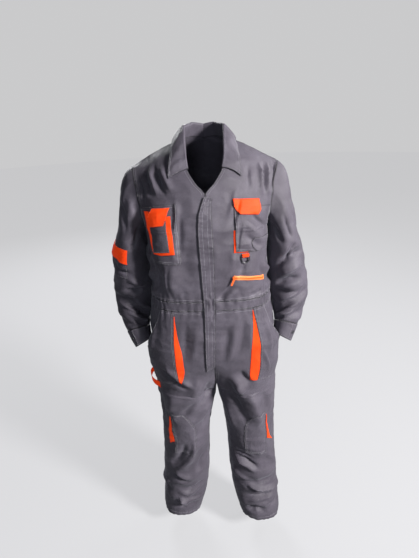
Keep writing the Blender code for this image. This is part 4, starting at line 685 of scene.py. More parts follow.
def path_height(x, z, path, width, depth, lean):
    """Height of one crease along a path of (x, z), tapering to its ends."""
    path = np.array(path, float)
    path = path_curve(path)
    low, high = path.min(axis=0) - 4 * width, path.max(axis=0) + 4 * width
    total = np.zeros(x.shape)
    near = (x > low[0]) & (x < high[0]) & (z > low[1]) & (z < high[1])
    if not near.any():
        return total
    px, pz = x[near], z[near]
    run = np.concatenate([[0], np.cumsum(np.linalg.norm(np.diff(path, axis=0), axis=1))])
    best, signed, place = np.full(px.shape, 1e9), np.zeros(px.shape), np.zeros(px.shape)
    for k in range(len(path) - 1):
        start, way = path[k], path[k + 1] - path[k]
        size = np.hypot(*way)
        way = way / size
        along = np.clip((px - start[0]) * way[0] + (pz - start[1]) * way[1], 0, size)
        dx, dz = px - start[0] - way[0] * along, pz - start[1] - way[1] * along
        apart = np.hypot(dx, dz)
        closer = apart < best
        best = np.where(closer, apart, best)
        signed = np.where(closer, np.sign(way[0] * dz - way[1] * dx) * apart, signed)
        place = np.where(closer, (run[k] + along) / run[-1], place)
    taper = ease(place / 0.35) * ease((1 - place) / 0.35) * 0.85 + 0.15 * (4 * place * (1 - place))
    size = width * WIDER * (1 - 1.5 * lean * np.tanh(signed / width))
    total[near] = depth * DEEPER * taper * np.exp(-(best / size) ** 2)
    return total


def path_curve(path, parts=4):
    """A smooth curve through the points of a path."""
    keys = np.arange(len(path))
    at = np.linspace(0, len(path) - 1, (len(path) - 1) * parts + 1)
    if len(path) < 3:
        return np.stack([np.interp(at, keys, path[:, k]) for k in range(2)], -1)
    ahead = np.vstack([2 * path[0] - path[1], path, 2 * path[-1] - path[-2]])
    i = np.clip(at.astype(int), 0, len(path) - 2)
    u = (at - i)[:, None]
    p0, p1, p2, p3 = ahead[i], ahead[i + 1], ahead[i + 2], ahead[i + 3]
    return 0.5 * (2 * p1 + (p2 - p0) * u + (2 * p0 - 5 * p1 + 4 * p2 - p3) * u**2
                  + (3 * p1 - p0 - 3 * p2 + p3) * u**3)


# ---------------------------------------------------------------- the form of the body cloth

ROW_LENGTH = 240  # millimetres of cloth from the middle to a side seam


def fold_height(side, around, level):
    total = np.zeros(np.broadcast(around, level).shape)
    for row_side, row_around, row_level, turn, length, width, depth in FOLDS:
        if row_level > CROTCH:
            apart = (side * around - row_side * row_around + 2) % 4 - 2
            apart = apart * row_side
        elif row_side == side:
            apart = (around - row_around + 1) % 2 - 1
        else:
            continue
        x, z = apart * ROW_LENGTH, level - row_level
        cos, sin = math.cos(math.radians(turn)), math.sin(math.radians(turn))
        total = total + fold_shape(x * cos + z * sin, z * cos - x * sin, length, width, depth)
    return total


def crease_height(side, around, level):
    """Height of the listed creases, in mm. Above the fork they run on over the middle of the body, below
    it round each leg."""
    around, level = np.broadcast_arrays(np.asarray(around, float), np.asarray(level, float))
    total = np.zeros(around.shape)
    above = level > CROTCH
    for row_side, width, depth, lean, path in CREASES:
        turned = [(a * ROW_LENGTH, l) for a, l in path]
        if row_side == side:
            places = [(around, 1.0), (around - 2, ~above), (around + 2, ~above)]
        else:
            places = [(-around, above), (4 - around, above)]
        for at, where in places:
            total += path_height(at * ROW_LENGTH, level, turned, width, depth, lean) * where
    return total


def seam_height(side, around, level, places):
    """Puckers and raised turnings beside the seams, in mm."""
    wave = soft_noise(places, 19.0)
    row = around * ROW_LENGTH
    total = np.zeros(np.broadcast(around, level).shape)
    for seam_level, height, reach, pitch in ((WAIST_SEAM, 1.7, 24, 17), (BAND_BOTTOM, 1.7, 28, 19), (HEM, 0.9, 24, 26)):
        ripple = np.cos(2 * np.pi * row / pitch + 3.2 * wave + 1.7 * side)
        total = total + height * ripple * np.exp(-np.abs(level - seam_level) / reach)
    from_seam = np.abs(around - 1) * ROW_LENGTH
    below_arm = level <= ARMPIT
    ripple = np.cos(2 * np.pi * level / 15 + 3.0 * wave)
    total = total + 0.55 * ripple * np.exp(-from_seam / 14) * below_arm
    total = total + 0.7 * ease((10.5 - (around - 1) * ROW_LENGTH) / 1.2) * (around >= 1) * below_arm
    total = total - 1.2 * np.exp(-(from_seam / 1.8) ** 2) * below_arm
    for full_level, reach, full in ((958, 66, 9.0), (818, 42, 8.0)):
        total = total + full * np.exp(-(from_seam / 48) ** 2 - ((level - full_level) / reach) ** 2)
    from_inseam = np.minimum(around, 2 - around) * ROW_LENGTH
    in_leg = level <= CROTCH
    total = total - 0.6 * np.exp(-(from_inseam / 1.3) ** 2) * in_leg
    total = total + 0.6 * ease((HEM + 24 - level) / 1.5)
    return total


class Piece:
    """The front or the back of one side of the body cloth, placed by (across 0..1, level)."""

    def __init__(self, facing, side):
        self.facing, self.side = facing, side
        self.middle, self.armhole, self.bow = ((FRONT_MIDDLE, FRONT_ARMHOLE, FRONT_BOW) if facing < 0
                                               else (BACK_MIDDLE, BACK_ARMHOLE, BACK_BOW))

    def base(self, across, level):
        across, level = np.broadcast_arrays(np.asarray(across, float), np.asarray(level, float))
        in_leg, below_arm = (level <= CROTCH)[..., None], (level <= ARMPIT)[..., None]
        leg = np.concatenate([spline(INSEAM, level), 0 * level[..., None], level[..., None]], -1)
        edge = np.where(in_leg, leg, spline(self.middle, level))
        seam = np.concatenate([spline(SIDE_SEAM, level), 0 * level[..., None], level[..., None]], -1)
        end = np.where(below_arm, seam, spline(self.armhole, level))
        leave, reach, arrive, pull, lift = np.moveaxis(spline(self.bow, level), -1, 0)
        leave, arrive = np.radians(leave), np.radians(arrive)
        u, v = across, 1 - across
        x = (v**3 * edge[..., 0] + 3 * u * v**2 * (edge[..., 0] + reach * np.cos(leave))
             + 3 * u**2 * v * (end[..., 0] - pull * np.cos(arrive)) + u**3 * end[..., 0])
        d = (v**3 * edge[..., 1] + 3 * u * v**2 * (edge[..., 1] + reach * np.sin(leave))
             + 3 * u**2 * v * (end[..., 1] + pull * np.sin(arrive)) + u**3 * end[..., 1])
        z = v * edge[..., 2] + u * end[..., 2] + 4 * u * v * lift
        return np.stack([x * self.side, d * self.facing, z], -1) * MM

    def own_normals(self, across, level):
        across, level = np.broadcast_arrays(np.asarray(across, float), np.asarray(level, float))
        a0, a1 = np.clip(across - 0.004, 0, 1), np.clip(across + 0.004, 0, 1)
        l0, l1 = np.clip(level - 1.5, HEM, SHOULDER), np.clip(level + 1.5, HEM, SHOULDER)
        row_way = self.base(a1, level) - self.base(a0, level)
        level_way = self.base(across, l1) - self.base(across, l0)
        return unit(np.cross(row_way, level_way) * self.side * -self.facing)

    def normals(self, across, level):
        """Outward normals of the form, shared with the piece on the far side of each seam."""
        across, level = np.broadcast_arrays(np.asarray(across, float), np.asarray(level, float))
        own = self.own_normals(across, level)
        mate = Piece(-self.facing, self.side).own_normals(across, level)
        at_side = ease(1 - (1 - across) / 0.12) * ease((ARMPIT + 12 - level) / 12)
        at_shoulder = ease(1 - (SHOULDER - level) / 20)
        at_inseam = ease(1 - across / 0.12) * (level <= CROTCH)
        shared = np.maximum(np.maximum(at_side, at_shoulder), at_inseam)[..., None]
        own = unit(own + shared * (unit(own + mate) - own))
        top = 1500 if self.facing > 0 else NECK_V
        at_middle = ease(1 - across / 0.12) * (level > CROTCH) * (level <= top)
        own[..., 0] *= 1 - at_middle
        return unit(own)

    def place(self, across, level):
        """Points of the draped cloth and outward normals."""
        across, level = np.broadcast_arrays(np.asarray(across, float), np.asarray(level, float))
        around = across if self.facing < 0 else 2 - across
        normals, base = self.normals(across, level), self.base(across, level)
        height = fold_height(self.side, around, level) + crease_height(self.side, around, level)
        height = height + crumple(base / MM) + seam_height(self.side, around, level, base / MM)
        return base + normals * height[..., None] * MM, normals


def stand(points):
    """Leans the suit, brings the left leg forward and moves the floor's zero to the origin's height."""
    moved = np.array(points, float)
    height = moved[..., 2] / MM
    forward = LEFT_LEG_FORWARD * MM * np.clip((CROTCH - height) / (CROTCH - HEM), 0, 1.2) ** 1.4
    moved[..., 1] -= forward * (moved[..., 0] > 0)
    moved[..., 0] += np.interp(height, *np.array(LEAN, float).T) * MM
    moved[..., 0] -= RIGHT_LEG_OUT * MM * ease((CROTCH - height) / 200) * (moved[..., 0] < 0)
    moved[..., 2] -= ORIGIN_HEIGHT
    return moved


def find_on_front(x, z):
    """Side, across and level of the front's cloth at a place seen from the front, in mm, lean included."""
    x, z = np.broadcast_arrays(np.asarray(x, float), np.asarray(z, float))
    x = x - np.interp(z, *np.array(LEAN, float).T)
    side = np.where(x < 0, -1, 1)
    across, level = np.clip(np.abs(x) / 260, 0.02, 0.8), z.copy()
    piece = Piece(-1, 1)
    for _ in range(14):
        here = piece.base(across, level) / MM
        by_across = (piece.base(across + 0.003, level) / MM - here) / 0.003
        by_level = piece.base(across, level + 1) / MM - here
        miss_x, miss_z = np.abs(x) - here[..., 0], z - here[..., 2]
        det = by_across[..., 0] * by_level[..., 2] - by_level[..., 0] * by_across[..., 2]
        det = np.where(np.abs(det) < 1, 1, det)
        across = across + np.clip((miss_x * by_level[..., 2] - by_level[..., 0] * miss_z) / det, -0.15, 0.15)
        level = level + np.clip((by_across[..., 0] * miss_z - by_across[..., 2] * miss_x) / det, -40, 40)
        across, level = np.clip(across, 0, 0.997), np.clip(level, HEM, SHOULDER - 1)
    return side, across, level


def on_front(across, level, lift):
    """Points and normals that far (mm) off the front's cloth; across is negative on the right side."""
    across, level = np.broadcast_arrays(np.asarray(across, float), np.asarray(level, float))
    points, normals = np.zeros(across.shape + (3,)), np.zeros(across.shape + (3,))
    for side in (-1, 1):
        mine = (across < 0) if side < 0 else (across >= 0)
        if mine.any():
            points[mine], normals[mine] = Piece(-1, side).place(np.abs(across[mine]), level[mine])
    return points + normals * (np.asarray(lift, float) * MM)[..., None], normals


def on_leg(side, around, level, lift):
    """The same on one leg's or hip's cloth, with around from the front's middle (0) to the back's (2)."""
    around, level = np.broadcast_arrays(np.asarray(around, float), np.asarray(level, float))
    points, normals = np.zeros(around.shape + (3,)), np.zeros(around.shape + (3,))
    for facing in (-1, 1):
        mine = (around <= 1) if facing < 0 else (around > 1)
        if mine.any():
            across = around[mine] if facing < 0 else 2 - around[mine]
            points[mine], normals[mine] = Piece(facing, side).place(across, level[mine])
    return points + normals * (np.asarray(lift, float) * MM)[..., None], normals


# ---------------------------------------------------------------- the form of the sleeves

def sleeve_ring(row, side, turn):
    x, y, z, across, deep, inward, nod = row
    angle = 2 * np.pi * np.asarray(turn)
    out, ahead = -np.cos(angle), np.sin(angle)
    wider = ELBOW_OUT / 2 * np.exp(-((z - 1060) / 90) ** 2) * (side > 0)
    x, across = x + wider, across + wider
    return np.stack([(x + across * out) * side, y - deep * ahead, z - inward * out - nod * ahead], -1) * MM


def table_ring(table, at, side, turn):
    indexed = np.array([(i, *row) for i, row in enumerate(table)], float)
    return sleeve_ring(np.moveaxis(spline(indexed, at), -1, 0), side, turn)


ARM_ROUND = 400  # millimetres of cloth round a sleeve
HOLE_LEVELS = np.concatenate([np.linspace(ARMPIT, 1350, 15), np.linspace(1350, SHOULDER, 40)[1:]])


def armhole(side):
    """Turn, points, normals and the way off the body cloth, round the armhole from the underarm over the front."""
    levels = HOLE_LEVELS
    turns, points, normals, ways = [], [], [], []
    for facing in (-1, 1):
        piece = Piece(facing, side)
        edge, edge_normals = piece.place(np.ones_like(levels), levels)
        run = np.concatenate([[0], np.cumsum(np.linalg.norm(np.diff(edge, axis=0), axis=1))])
        share = run / run[-1] / 2
        smooth = piece.base(np.ones_like(levels), levels)
        tangent = unit(np.gradient(smooth, axis=0))
        inward = piece.base(0.985, levels) - piece.base(1.0, levels)
        way = -unit(inward - (inward * tangent).sum(-1, keepdims=True) * tangent)
        if facing > 0:
            edge, edge_normals, way, share = edge[-2:0:-1], edge_normals[-2:0:-1], way[-2:0:-1], 1 - share[-2:0:-1]
        else:
            way[0] = (0, 0, -1)
        turns.append(share)
        points.append(edge)
        normals.append(edge_normals)
        ways.append(way)
    return tuple(np.concatenate(parts) for parts in (turns, points, normals, ways))


def sleeve_height(side, turn, level):
    total = np.zeros(np.broadcast(turn, level).shape)
    for row_side, row_turn, row_level, slope, length, width, depth in SLEEVE_FOLDS:
        if row_side != side:
            continue
        x, z = ((turn - row_turn + 0.5) % 1 - 0.5) * ARM_ROUND, level - row_level
        cos, sin = math.cos(math.radians(slope)), math.sin(math.radians(slope))
        total = total + fold_shape(x * cos + z * sin, z * cos - x * sin, length, width, depth)
    for row_side, width, depth, lean, path in SLEEVE_CREASES:
        if row_side != side:
            continue
        turned = [(a * ARM_ROUND, l) for a, l in path]
        for shift in (-1, 0, 1):
            total = total + path_height((turn + shift) * ARM_ROUND, level, turned, width, depth, lean)
    return total


class Sleeve:
    """A sleeve placed by (turn, at): at runs from -1 (armhole) over 0 (first ring) to the cuff seam."""

    def __init__(self, side):
        self.side = side
        self.turns, self.hole, self.hole_normals, self.ways = armhole(side)
        self.last = len(SLEEVE) - 1

    def around(self, values, turn):
        keys = np.concatenate([self.turns, [1]])
        values = np.concatenate([values, values[:1]])
        return np.stack([np.interp(turn % 1, keys, values[:, k]) for k in range(3)], -1)

    def base(self, turn, at):
        turn, at = np.broadcast_arrays(np.asarray(turn, float), np.asarray(at, float))
        low = table_ring(SLEEVE, np.maximum(at, 0), self.side, turn)
        hole, normals, ways = (self.around(values, turn) for values in (self.hole, self.hole_normals, self.ways))
        at_top = (0.5 - 0.5 * np.cos(2 * np.pi * turn))[..., None]
        start = hole + SEAM_GAP * ways + CAP_STANDS_OFF * (1 - at_top) ** 3 * normals
        first, second = (table_ring(SLEEVE, np.full(turn.shape, k), self.side, turn) for k in (0.0, 0.3))
        down = unit(second - first)
        outward = unit(at_top * ways + (1 - at_top) * unit(0.6 * normals + down))
        gap = np.linalg.norm(first - start, axis=-1, keepdims=True)
        u, v = np.clip(at + 1, 0, 1)[..., None], np.clip(-at, 0, 1)[..., None]
        cap = (v**3 * start + 3 * u * v**2 * (start + outward * gap * 0.30)
               + 3 * u**2 * v * (first - down * gap * 0.45) + u**3 * first)
        return np.where((at < 0)[..., None], cap, low)

    def normals(self, turn, at):
        turn, at = np.broadcast_arrays(np.asarray(turn, float), np.asarray(at, float))
        round_way = self.base(turn + 0.004, at) - self.base(turn - 0.004, at)
        down_way = self.base(turn, np.minimum(at + 0.02, self.last)) - self.base(turn, np.maximum(at - 0.02, -1))
        own = unit(np.cross(round_way, down_way)) * -self.side
        at_top = (0.5 - 0.5 * np.cos(2 * np.pi * turn))[..., None]
        at_hole = at_top * ease(-at * 4 - 3)[..., None]
        return unit(own * (1 - at_hole) + self.around(self.hole_normals, turn) * at_hole)

    def place(self, turn, at):
        """Points of the sleeve's cloth and outward normals."""
        turn, at = np.broadcast_arrays(np.asarray(turn, float), np.asarray(at, float))
        base, normals = self.base(turn, at), self.normals(turn, at)
        height = sleeve_height(self.side, turn, base[..., 2] / MM) + crumple(base / MM) * 0.9
        gather = np.cos(2 * np.pi * 27 * turn + 3 * soft_noise(base / MM, 30.0))
        height = height + 1.1 * gather * np.exp(-(self.last - at) / 0.45)
        height = height - 0.6 * np.exp(-((np.abs(turn - 0.5) - 0.5) * ARM_ROUND / 1.3) ** 2)
        height = height * ease((at + 1) * 2.2) * ease((self.last - at) / 0.5)
        return base + normals * height[..., None] * MM, normals


# ---------------------------------------------------------------- making shells

def lines(length, step=STEP, close=(0.7, 1.8, 3.4)):
    """Places from 0 to 1 along that many millimetres, closer together beside both ends."""
    count = max(int(round(length / step)), 2)
    inner = np.linspace(close[-1], length - close[-1], count)[1:-1] if length > 4 * close[-1] else []
    ends = [0, *close] if length > 4 * close[-1] else [0, min(0.7, length / 6)]
    return np.unique(np.concatenate([ends, inner, length - np.array(ends)])) / length


def signed_volume(vertices, faces):
    corners = vertices[np.array([face[:3] for face in faces])]
    return float(np.einsum("ij,ij->i", corners[:, 0], np.cross(corners[:, 1], corners[:, 2])).sum())


def grid_faces(rows, columns, first=0, closed=False, flip=False):
    """Quads of a grid whose vertices run row by row; closed joins the last column to the first."""
    i, j = np.meshgrid(np.arange(rows - 1), np.arange(columns if closed else columns - 1), indexing="ij")
    k = (j + 1) % columns
    faces = np.stack([i * columns + j, i * columns + k, (i + 1) * columns + k, (i + 1) * columns + j], -1)
    faces = faces.reshape(-1, 4) + first
    return faces[:, ::-1] if flip else faces


def rim_faces(rows, columns, closed):
    """Quads round the free edges, between the outer grid and the inner grid that follows it."""
    inner = rows * columns
    if closed:
        loops = [[j for j in range(columns)], [(rows - 1) * columns + j for j in range(columns)][::-1]]
    else:
        loops = [[j for j in range(columns)] + [i * columns + columns - 1 for i in range(1, rows)]
                 + [(rows - 1) * columns + j for j in range(columns - 2, -1, -1)]
                 + [i * columns for i in range(rows - 2, 0, -1)]]
    return np.array([(a, inner + a, inner + b, b) for loop in loops for a, b in zip(loop, loop[1:] + loop[:1])])


def add_mesh(name, vertices, faces, material, cloth=None, smooth=True, border=None):
    mesh = bpy.data.meshes.new(name)
    mesh.from_pydata([tuple(v) for v in vertices.tolist()], [], [tuple(f) for f in faces])
    mesh.materials.append(material)
    if smooth:
        mesh.shade_smooth()
        mesh.set_sharp_from_angle(angle=math.radians(60))
    if cloth is not None:
        layer = mesh.attributes.new("cloth", "FLOAT_VECTOR", "POINT")
        layer.data.foreach_set("vector", np.asarray(cloth, np.float32).ravel())
        layer = mesh.attributes.new("border", "FLOAT", "POINT")
        layer.data.foreach_set("value", np.full(len(cloth), FAR_IN, np.float32) if border is None
                               else np.asarray(border, np.float32))
    made = bpy.data.objects.new(name, mesh)
    bpy.context.scene.collection.objects.link(made)
    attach(made, SUIT)
    return made


FAR_IN = 1.0  # metres, stands for a point far from any seam


def border_distance(grid, closed=False, halved=False):
    """Distance in metres from each point of a grid to its nearest edge, along the grid's lines. A closed grid has no
    side edges, and a halved one has none in its first column."""
    lines = [grid, np.swapaxes(grid, 0, 1)]
    apart = []
    for number, way in enumerate(lines[:1] if closed else lines):
        steps = np.linalg.norm(np.diff(way, axis=0), axis=2)
        run = np.concatenate([np.zeros((1, way.shape[1])), np.cumsum(steps, axis=0)])
        apart.append(run[-1] - run if halved and number else np.minimum(run, run[-1] - run))
    return apart[0] if closed else np.minimum(apart[0], apart[1].T)


def add_shell(name, outer, inner, cloth, material, closed=False):
    """A thin closed piece between two grids of points as on the standing wearer; cloth holds each point's place in
    the weave, in metres."""
    rows, columns = outer.shape[:2]
    vertices = stand(np.concatenate([outer.reshape(-1, 3), inner.reshape(-1, 3)]))
    faces = np.concatenate([grid_faces(rows, columns, 0, closed),
                            grid_faces(rows, columns, rows * columns, closed, True),
                            rim_faces(rows, columns, closed)])
    if signed_volume(vertices - vertices.mean(axis=0), faces) < 0:
        faces = faces[:, ::-1]
    border = np.tile(border_distance(outer, closed).ravel(), 2)
    return add_mesh(name, vertices, faces.tolist(), material, np.concatenate([cloth.reshape(-1, 3)] * 2),
                    border=border)


def rounded_edge(distance, radius=1.6):
    """Share of a shell's thickness kept at a distance in mm from its free edge."""
    return 0.35 + 0.65 * np.sqrt(np.clip(1 - (1 - np.clip(distance / radius, 0, 1)) ** 2, 0, 1))


def weave(u, v, height=0.0):
    """Places in the weave, in metres, from millimetres across and along the cloth."""
    u, v, height = np.broadcast_arrays(u, v, height)
    return np.stack([u * MM, v * MM, height], -1)


def trim_edges(grid, by=SEAM_GAP / 2):
    """Draws a grid's edges in, for the seam gap."""
    grid = grid.copy()
    grid[:, 0] += unit(grid[:, 1] - grid[:, 0]) * by
    grid[:, -1] += unit(grid[:, -2] - grid[:, -1]) * by
    grid[0] += unit(grid[1] - grid[0]) * by
    grid[-1] += unit(grid[-2] - grid[-1]) * by
    return grid


# ---------------------------------------------------------------- stitches

THREADS = {}  # rows of stitches by the name of the piece that they become


def sew(group, points, normals, pitch=3.4, length=2.5, radius=0.30):
    """Adds a row of stitches along points on the cloth."""
    points, normals = stand(points), np.asarray(normals)
    run = np.concatenate([[0], np.cumsum(np.linalg.norm(np.diff(points, axis=0), axis=1))]) / MM
    if run[-1] < 2 * pitch:
        return
    count = int(run[-1] // pitch)
    begin = (run[-1] - count * pitch) / 2 + np.arange(count) * pitch + (pitch - length) / 2
    shares = np.array([0.0, 0.16, 0.84, 1.0])
    at = begin[:, None] + shares * length
    place = np.stack([np.interp(at, run, points[:, k]) for k in range(3)], -1)
    normal = unit(np.stack([np.interp(at, run, normals[:, k]) for k in range(3)], -1))
    way = unit(place[:, -1:] - place[:, :1])
    across = unit(np.cross(normal, np.broadcast_to(way, normal.shape)))
    middle = place + normal * 0.28 * MM
    ring = [middle[:, 1:3] + (across[:, 1:3] * a + normal[:, 1:3] * b) * radius * MM
            for a, b in ((-1, -0.2), (0, 1), (1, -0.2), (0, -1))]
    tips = place[:, [0, 3]] - normal[:, [0, 3]] * 0.15 * MM
    vertices = np.concatenate([np.stack(ring, 2).reshape(count, 8, 3), tips], axis=1)
    THREADS.setdefault(group, []).append(vertices)


STITCH_FACES = ((0, 1, 5, 4), (1, 2, 6, 5), (2, 3, 7, 6), (3, 0, 4, 7), (1, 0, 8), (2, 1, 8), (3, 2, 8), (0, 3, 8),
                (4, 5, 9), (5, 6, 9), (6, 7, 9), (7, 4, 9))


def add_stitches(group, material):
    vertices = np.concatenate(THREADS[group])
    faces = [tuple(10 * k + corner for corner in face) for k in range(len(vertices)) for face in STITCH_FACES]
    made = add_mesh(f"stitches_{group}", vertices.reshape(-1, 3), faces, material, smooth=False)
    return made


class Sheet:
    """A piece of cloth placed by (s, t), each 0 to 1, with its size in mm for steps along it."""

    def __init__(self, at, width, length):
        self.at, self.width, self.length = at, width, length

    def shell(self, name, material, thickness=TRIM, step=STEP, free=(1, 1, 1, 1), lift=None, closed=False):
        """free says which edges are rounded off: left, right, first row, last row."""
        s, t = np.meshgrid(lines(self.width, step), lines(self.length, step))
        if closed:
            s, t = np.meshgrid(np.linspace(0, 1, int(self.width / step) + 1)[:-1], lines(self.length, step))
        under, normals = self.at(s, t)
        near = np.full(s.shape, 9.0)
        for use, distance in zip(free, (s * self.width, (1 - s) * self.width, t * self.length,
                                        (1 - t) * self.length)):
            near = np.minimum(near, distance) if use else near
        outer = under + normals * (thickness * rounded_edge(near))[..., None]
        cloth = weave(s * self.width, t * self.length)
        return add_shell(name, outer, under, cloth, material, closed)

    def sew_edges(self, group, edges, insets=(2.0,), thickness=TRIM):
        """Rows of stitches along edges (left, right, first, last) that many millimetres in."""
        for edge in edges:
            for inset in insets:
                s0, t0 = inset / self.width, inset / self.length
                if edge in ("left", "right"):
                    t = np.linspace(t0 * 0.6, 1 - t0 * 0.6, max(int(self.length / 3), 4))
                    s = np.full(t.shape, s0 if edge == "left" else 1 - s0)
                else:
                    s = np.linspace(s0 * 0.6, 1 - s0 * 0.6, max(int(self.width / 3), 4))
                    t = np.full(s.shape, t0 if edge == "first" else 1 - t0)
                under, normals = self.at(s, t)
                sew(group, under + normals * thickness, normals)


# ---------------------------------------------------------------- materials

def new_material(name):
    made = bpy.data.materials.new(name)
    made.use_nodes = True
    nodes = made.node_tree.nodes
    nodes.clear()
    out = nodes.new("ShaderNodeOutputMaterial")
    shader = nodes.new("ShaderNodeBsdfPrincipled")
    made.node_tree.links.new(shader.outputs["BSDF"], out.inputs["Surface"])
    return made, shader


def wire(tree, kind, **values):
    """A new node; values are its properties, or inputs by number where a name starts with i_, or sockets to link."""
    node = tree.nodes.new(kind)
    for key, value in values.items():
        if key.startswith("i_"):
            socket = node.inputs[int(key[2:])]
            if isinstance(value, bpy.types.NodeSocket):
                tree.links.new(value, socket)
            else:
                socket.default_value = value
        else:
            setattr(node, key, value)
    return node


def maths(tree, operation, first, second=0.0):
    return wire(tree, "ShaderNodeMath", operation=operation, i_0=first, i_1=second).outputs[0]


def twill_material(name, colour, worn, dark, sheen, roughness, seam=0.34, gloss=0.26, painted_glow=0.0):
    """Twill cloth: slanted ribs and crossing yarns in the bump, uneven dye, wear on what stands proud, painted shade
    beside its edges and seams, and a painted glow of its own dark colour.
    """
    made, shader = new_material(name)
    tree = made.node_tree
    place = wire(tree, "ShaderNodeAttribute", attribute_name="cloth").outputs["Vector"]
    parts = wire(tree, "ShaderNodeSeparateXYZ", i_0=place)
    u, v = parts.outputs[0], parts.outputs[1]
    body = wire(tree, "ShaderNodeTexCoord").outputs["Object"]
    uneven = wire(tree, "ShaderNodeTexNoise", i_0=place)
    uneven.inputs["Scale"].default_value = 420
    uneven.inputs["Detail"].default_value = 2
    slack = maths(tree, "MULTIPLY", uneven.outputs["Fac"], 2.4)
    slant = maths(tree, "ADD", u, v)
    rib = maths(tree, "SINE", maths(tree, "ADD", maths(tree, "MULTIPLY", slant, 2 * math.pi / 0.0013), slack))
    yarn = maths(tree, "SINE", maths(tree, "ADD", maths(tree, "MULTIPLY", u, 2 * math.pi / 0.0007), slack))
    height = maths(tree, "ADD", maths(tree, "MULTIPLY", rib, 0.6), maths(tree, "MULTIPLY", yarn, 0.25))
    cloudy = wire(tree, "ShaderNodeTexNoise", i_0=body)
    cloudy.inputs["Scale"].default_value = 9
    cloudy.inputs["Detail"].default_value = 5
    cloudy.inputs["Roughness"].default_value = 0.6
    speck = wire(tree, "ShaderNodeTexNoise", i_0=body)
    speck.inputs["Scale"].default_value = 240
    speck.inputs["Detail"].default_value = 2
    amount = maths(tree, "ADD", maths(tree, "MULTIPLY", cloudy.outputs["Fac"], 1.5),
                   maths(tree, "MULTIPLY", speck.outputs["Fac"], 0.35))
    amount = maths(tree, "ADD", amount, maths(tree, "MULTIPLY", rib, 0.05))
    ramp = wire(tree, "ShaderNodeValToRGB", i_0=maths(tree, "SUBTRACT", amount, 0.42))
    ramp.color_ramp.elements[0].position = 0.15
    ramp.color_ramp.elements[0].color = (*dark, 1)
    ramp.color_ramp.elements[1].position = 0.85
    ramp.color_ramp.elements[1].color = (*worn, 1)
    middle = ramp.color_ramp.elements.new(0.5)
    middle.color = (*colour, 1)
    # painted shade: the base colour is darkened within about 4 mm of each shell's edge, down to the share seam right at
    # the edge, for the shadow in the seam grooves
    border = wire(tree, "ShaderNodeAttribute", attribute_name="border").outputs["Fac"]
    painted_seam_shade = wire(tree, "ShaderNodeMapRange", i_0=border, i_1=0.0006, i_2=0.0042, i_3=seam, i_4=1.0)
    shaded = wire(tree, "ShaderNodeVectorMath", operation="SCALE", i_0=ramp.outputs["Color"],
                  i_3=painted_seam_shade.outputs["Result"])
    tree.links.new(shaded.outputs["Vector"], shader.inputs["Base Color"])
    slub = wire(tree, "ShaderNodeTexNoise", i_0=body)
    slub.inputs["Scale"].default_value = 130
    slub.inputs["Detail"].default_value = 3
    grain = wire(tree, "ShaderNodeBump")
    grain.inputs["Strength"].default_value = 0.45
    grain.inputs["Distance"].default_value = 0.0011
    tree.links.new(slub.outputs["Fac"], grain.inputs["Height"])
    wrinkle = wire(tree, "ShaderNodeTexNoise", i_0=body, noise_type="RIDGED_MULTIFRACTAL")
    wrinkle.inputs["Scale"].default_value = 13
    wrinkle.inputs["Detail"].default_value = 2.5
    wrinkle.inputs["Distortion"].default_value = 0.7
    worked = wire(tree, "ShaderNodeBump")
    worked.inputs["Strength"].default_value = 0.75
    worked.inputs["Distance"].default_value = 0.0036
    tree.links.new(wrinkle.outputs["Fac"], worked.inputs["Height"])
    tree.links.new(worked.outputs["Normal"], grain.inputs["Normal"])
    bump = wire(tree, "ShaderNodeBump")
    bump.inputs["Strength"].default_value = 0.5
    bump.inputs["Distance"].default_value = 0.00022
    tree.links.new(height, bump.inputs["Height"])
    tree.links.new(grain.outputs["Normal"], bump.inputs["Normal"])
    tree.links.new(bump.outputs["Normal"], shader.inputs["Normal"])
    shader.inputs["Roughness"].default_value = roughness
    shader.inputs["Specular IOR Level"].default_value = gloss
    # painted light: the cloth gives off light of its own dark colour, so that it stays bright in shade
    shader.inputs["Emission Color"].default_value = (*dark, 1)
    shader.inputs["Emission Strength"].default_value = painted_glow
    shader.inputs["Sheen Weight"].default_value = sheen
    shader.inputs["Sheen Roughness"].default_value = 0.45
    shader.inputs["Sheen Tint"].default_value = (0.86, 0.88, 1.0, 1)
    return made


def plain_material(name, colour, roughness, metallic=0.0, speckle=60):
    """Plastic or metal with faint handling marks in its gloss."""
    made, shader = new_material(name)
    tree = made.node_tree
    body = wire(tree, "ShaderNodeTexCoord").outputs["Object"]
    marks = wire(tree, "ShaderNodeTexNoise", i_0=body)
    marks.inputs["Scale"].default_value = speckle
    marks.inputs["Detail"].default_value = 4
    low, high = roughness - 0.08, roughness + 0.12
    spread = wire(tree, "ShaderNodeMapRange", i_0=marks.outputs["Fac"], i_1=0.3, i_2=0.7, i_3=low, i_4=high)
    tree.links.new(spread.outputs["Result"], shader.inputs["Roughness"])
    shader.inputs["Base Color"].default_value = (*colour, 1)
    shader.inputs["Metallic"].default_value = metallic
    return made


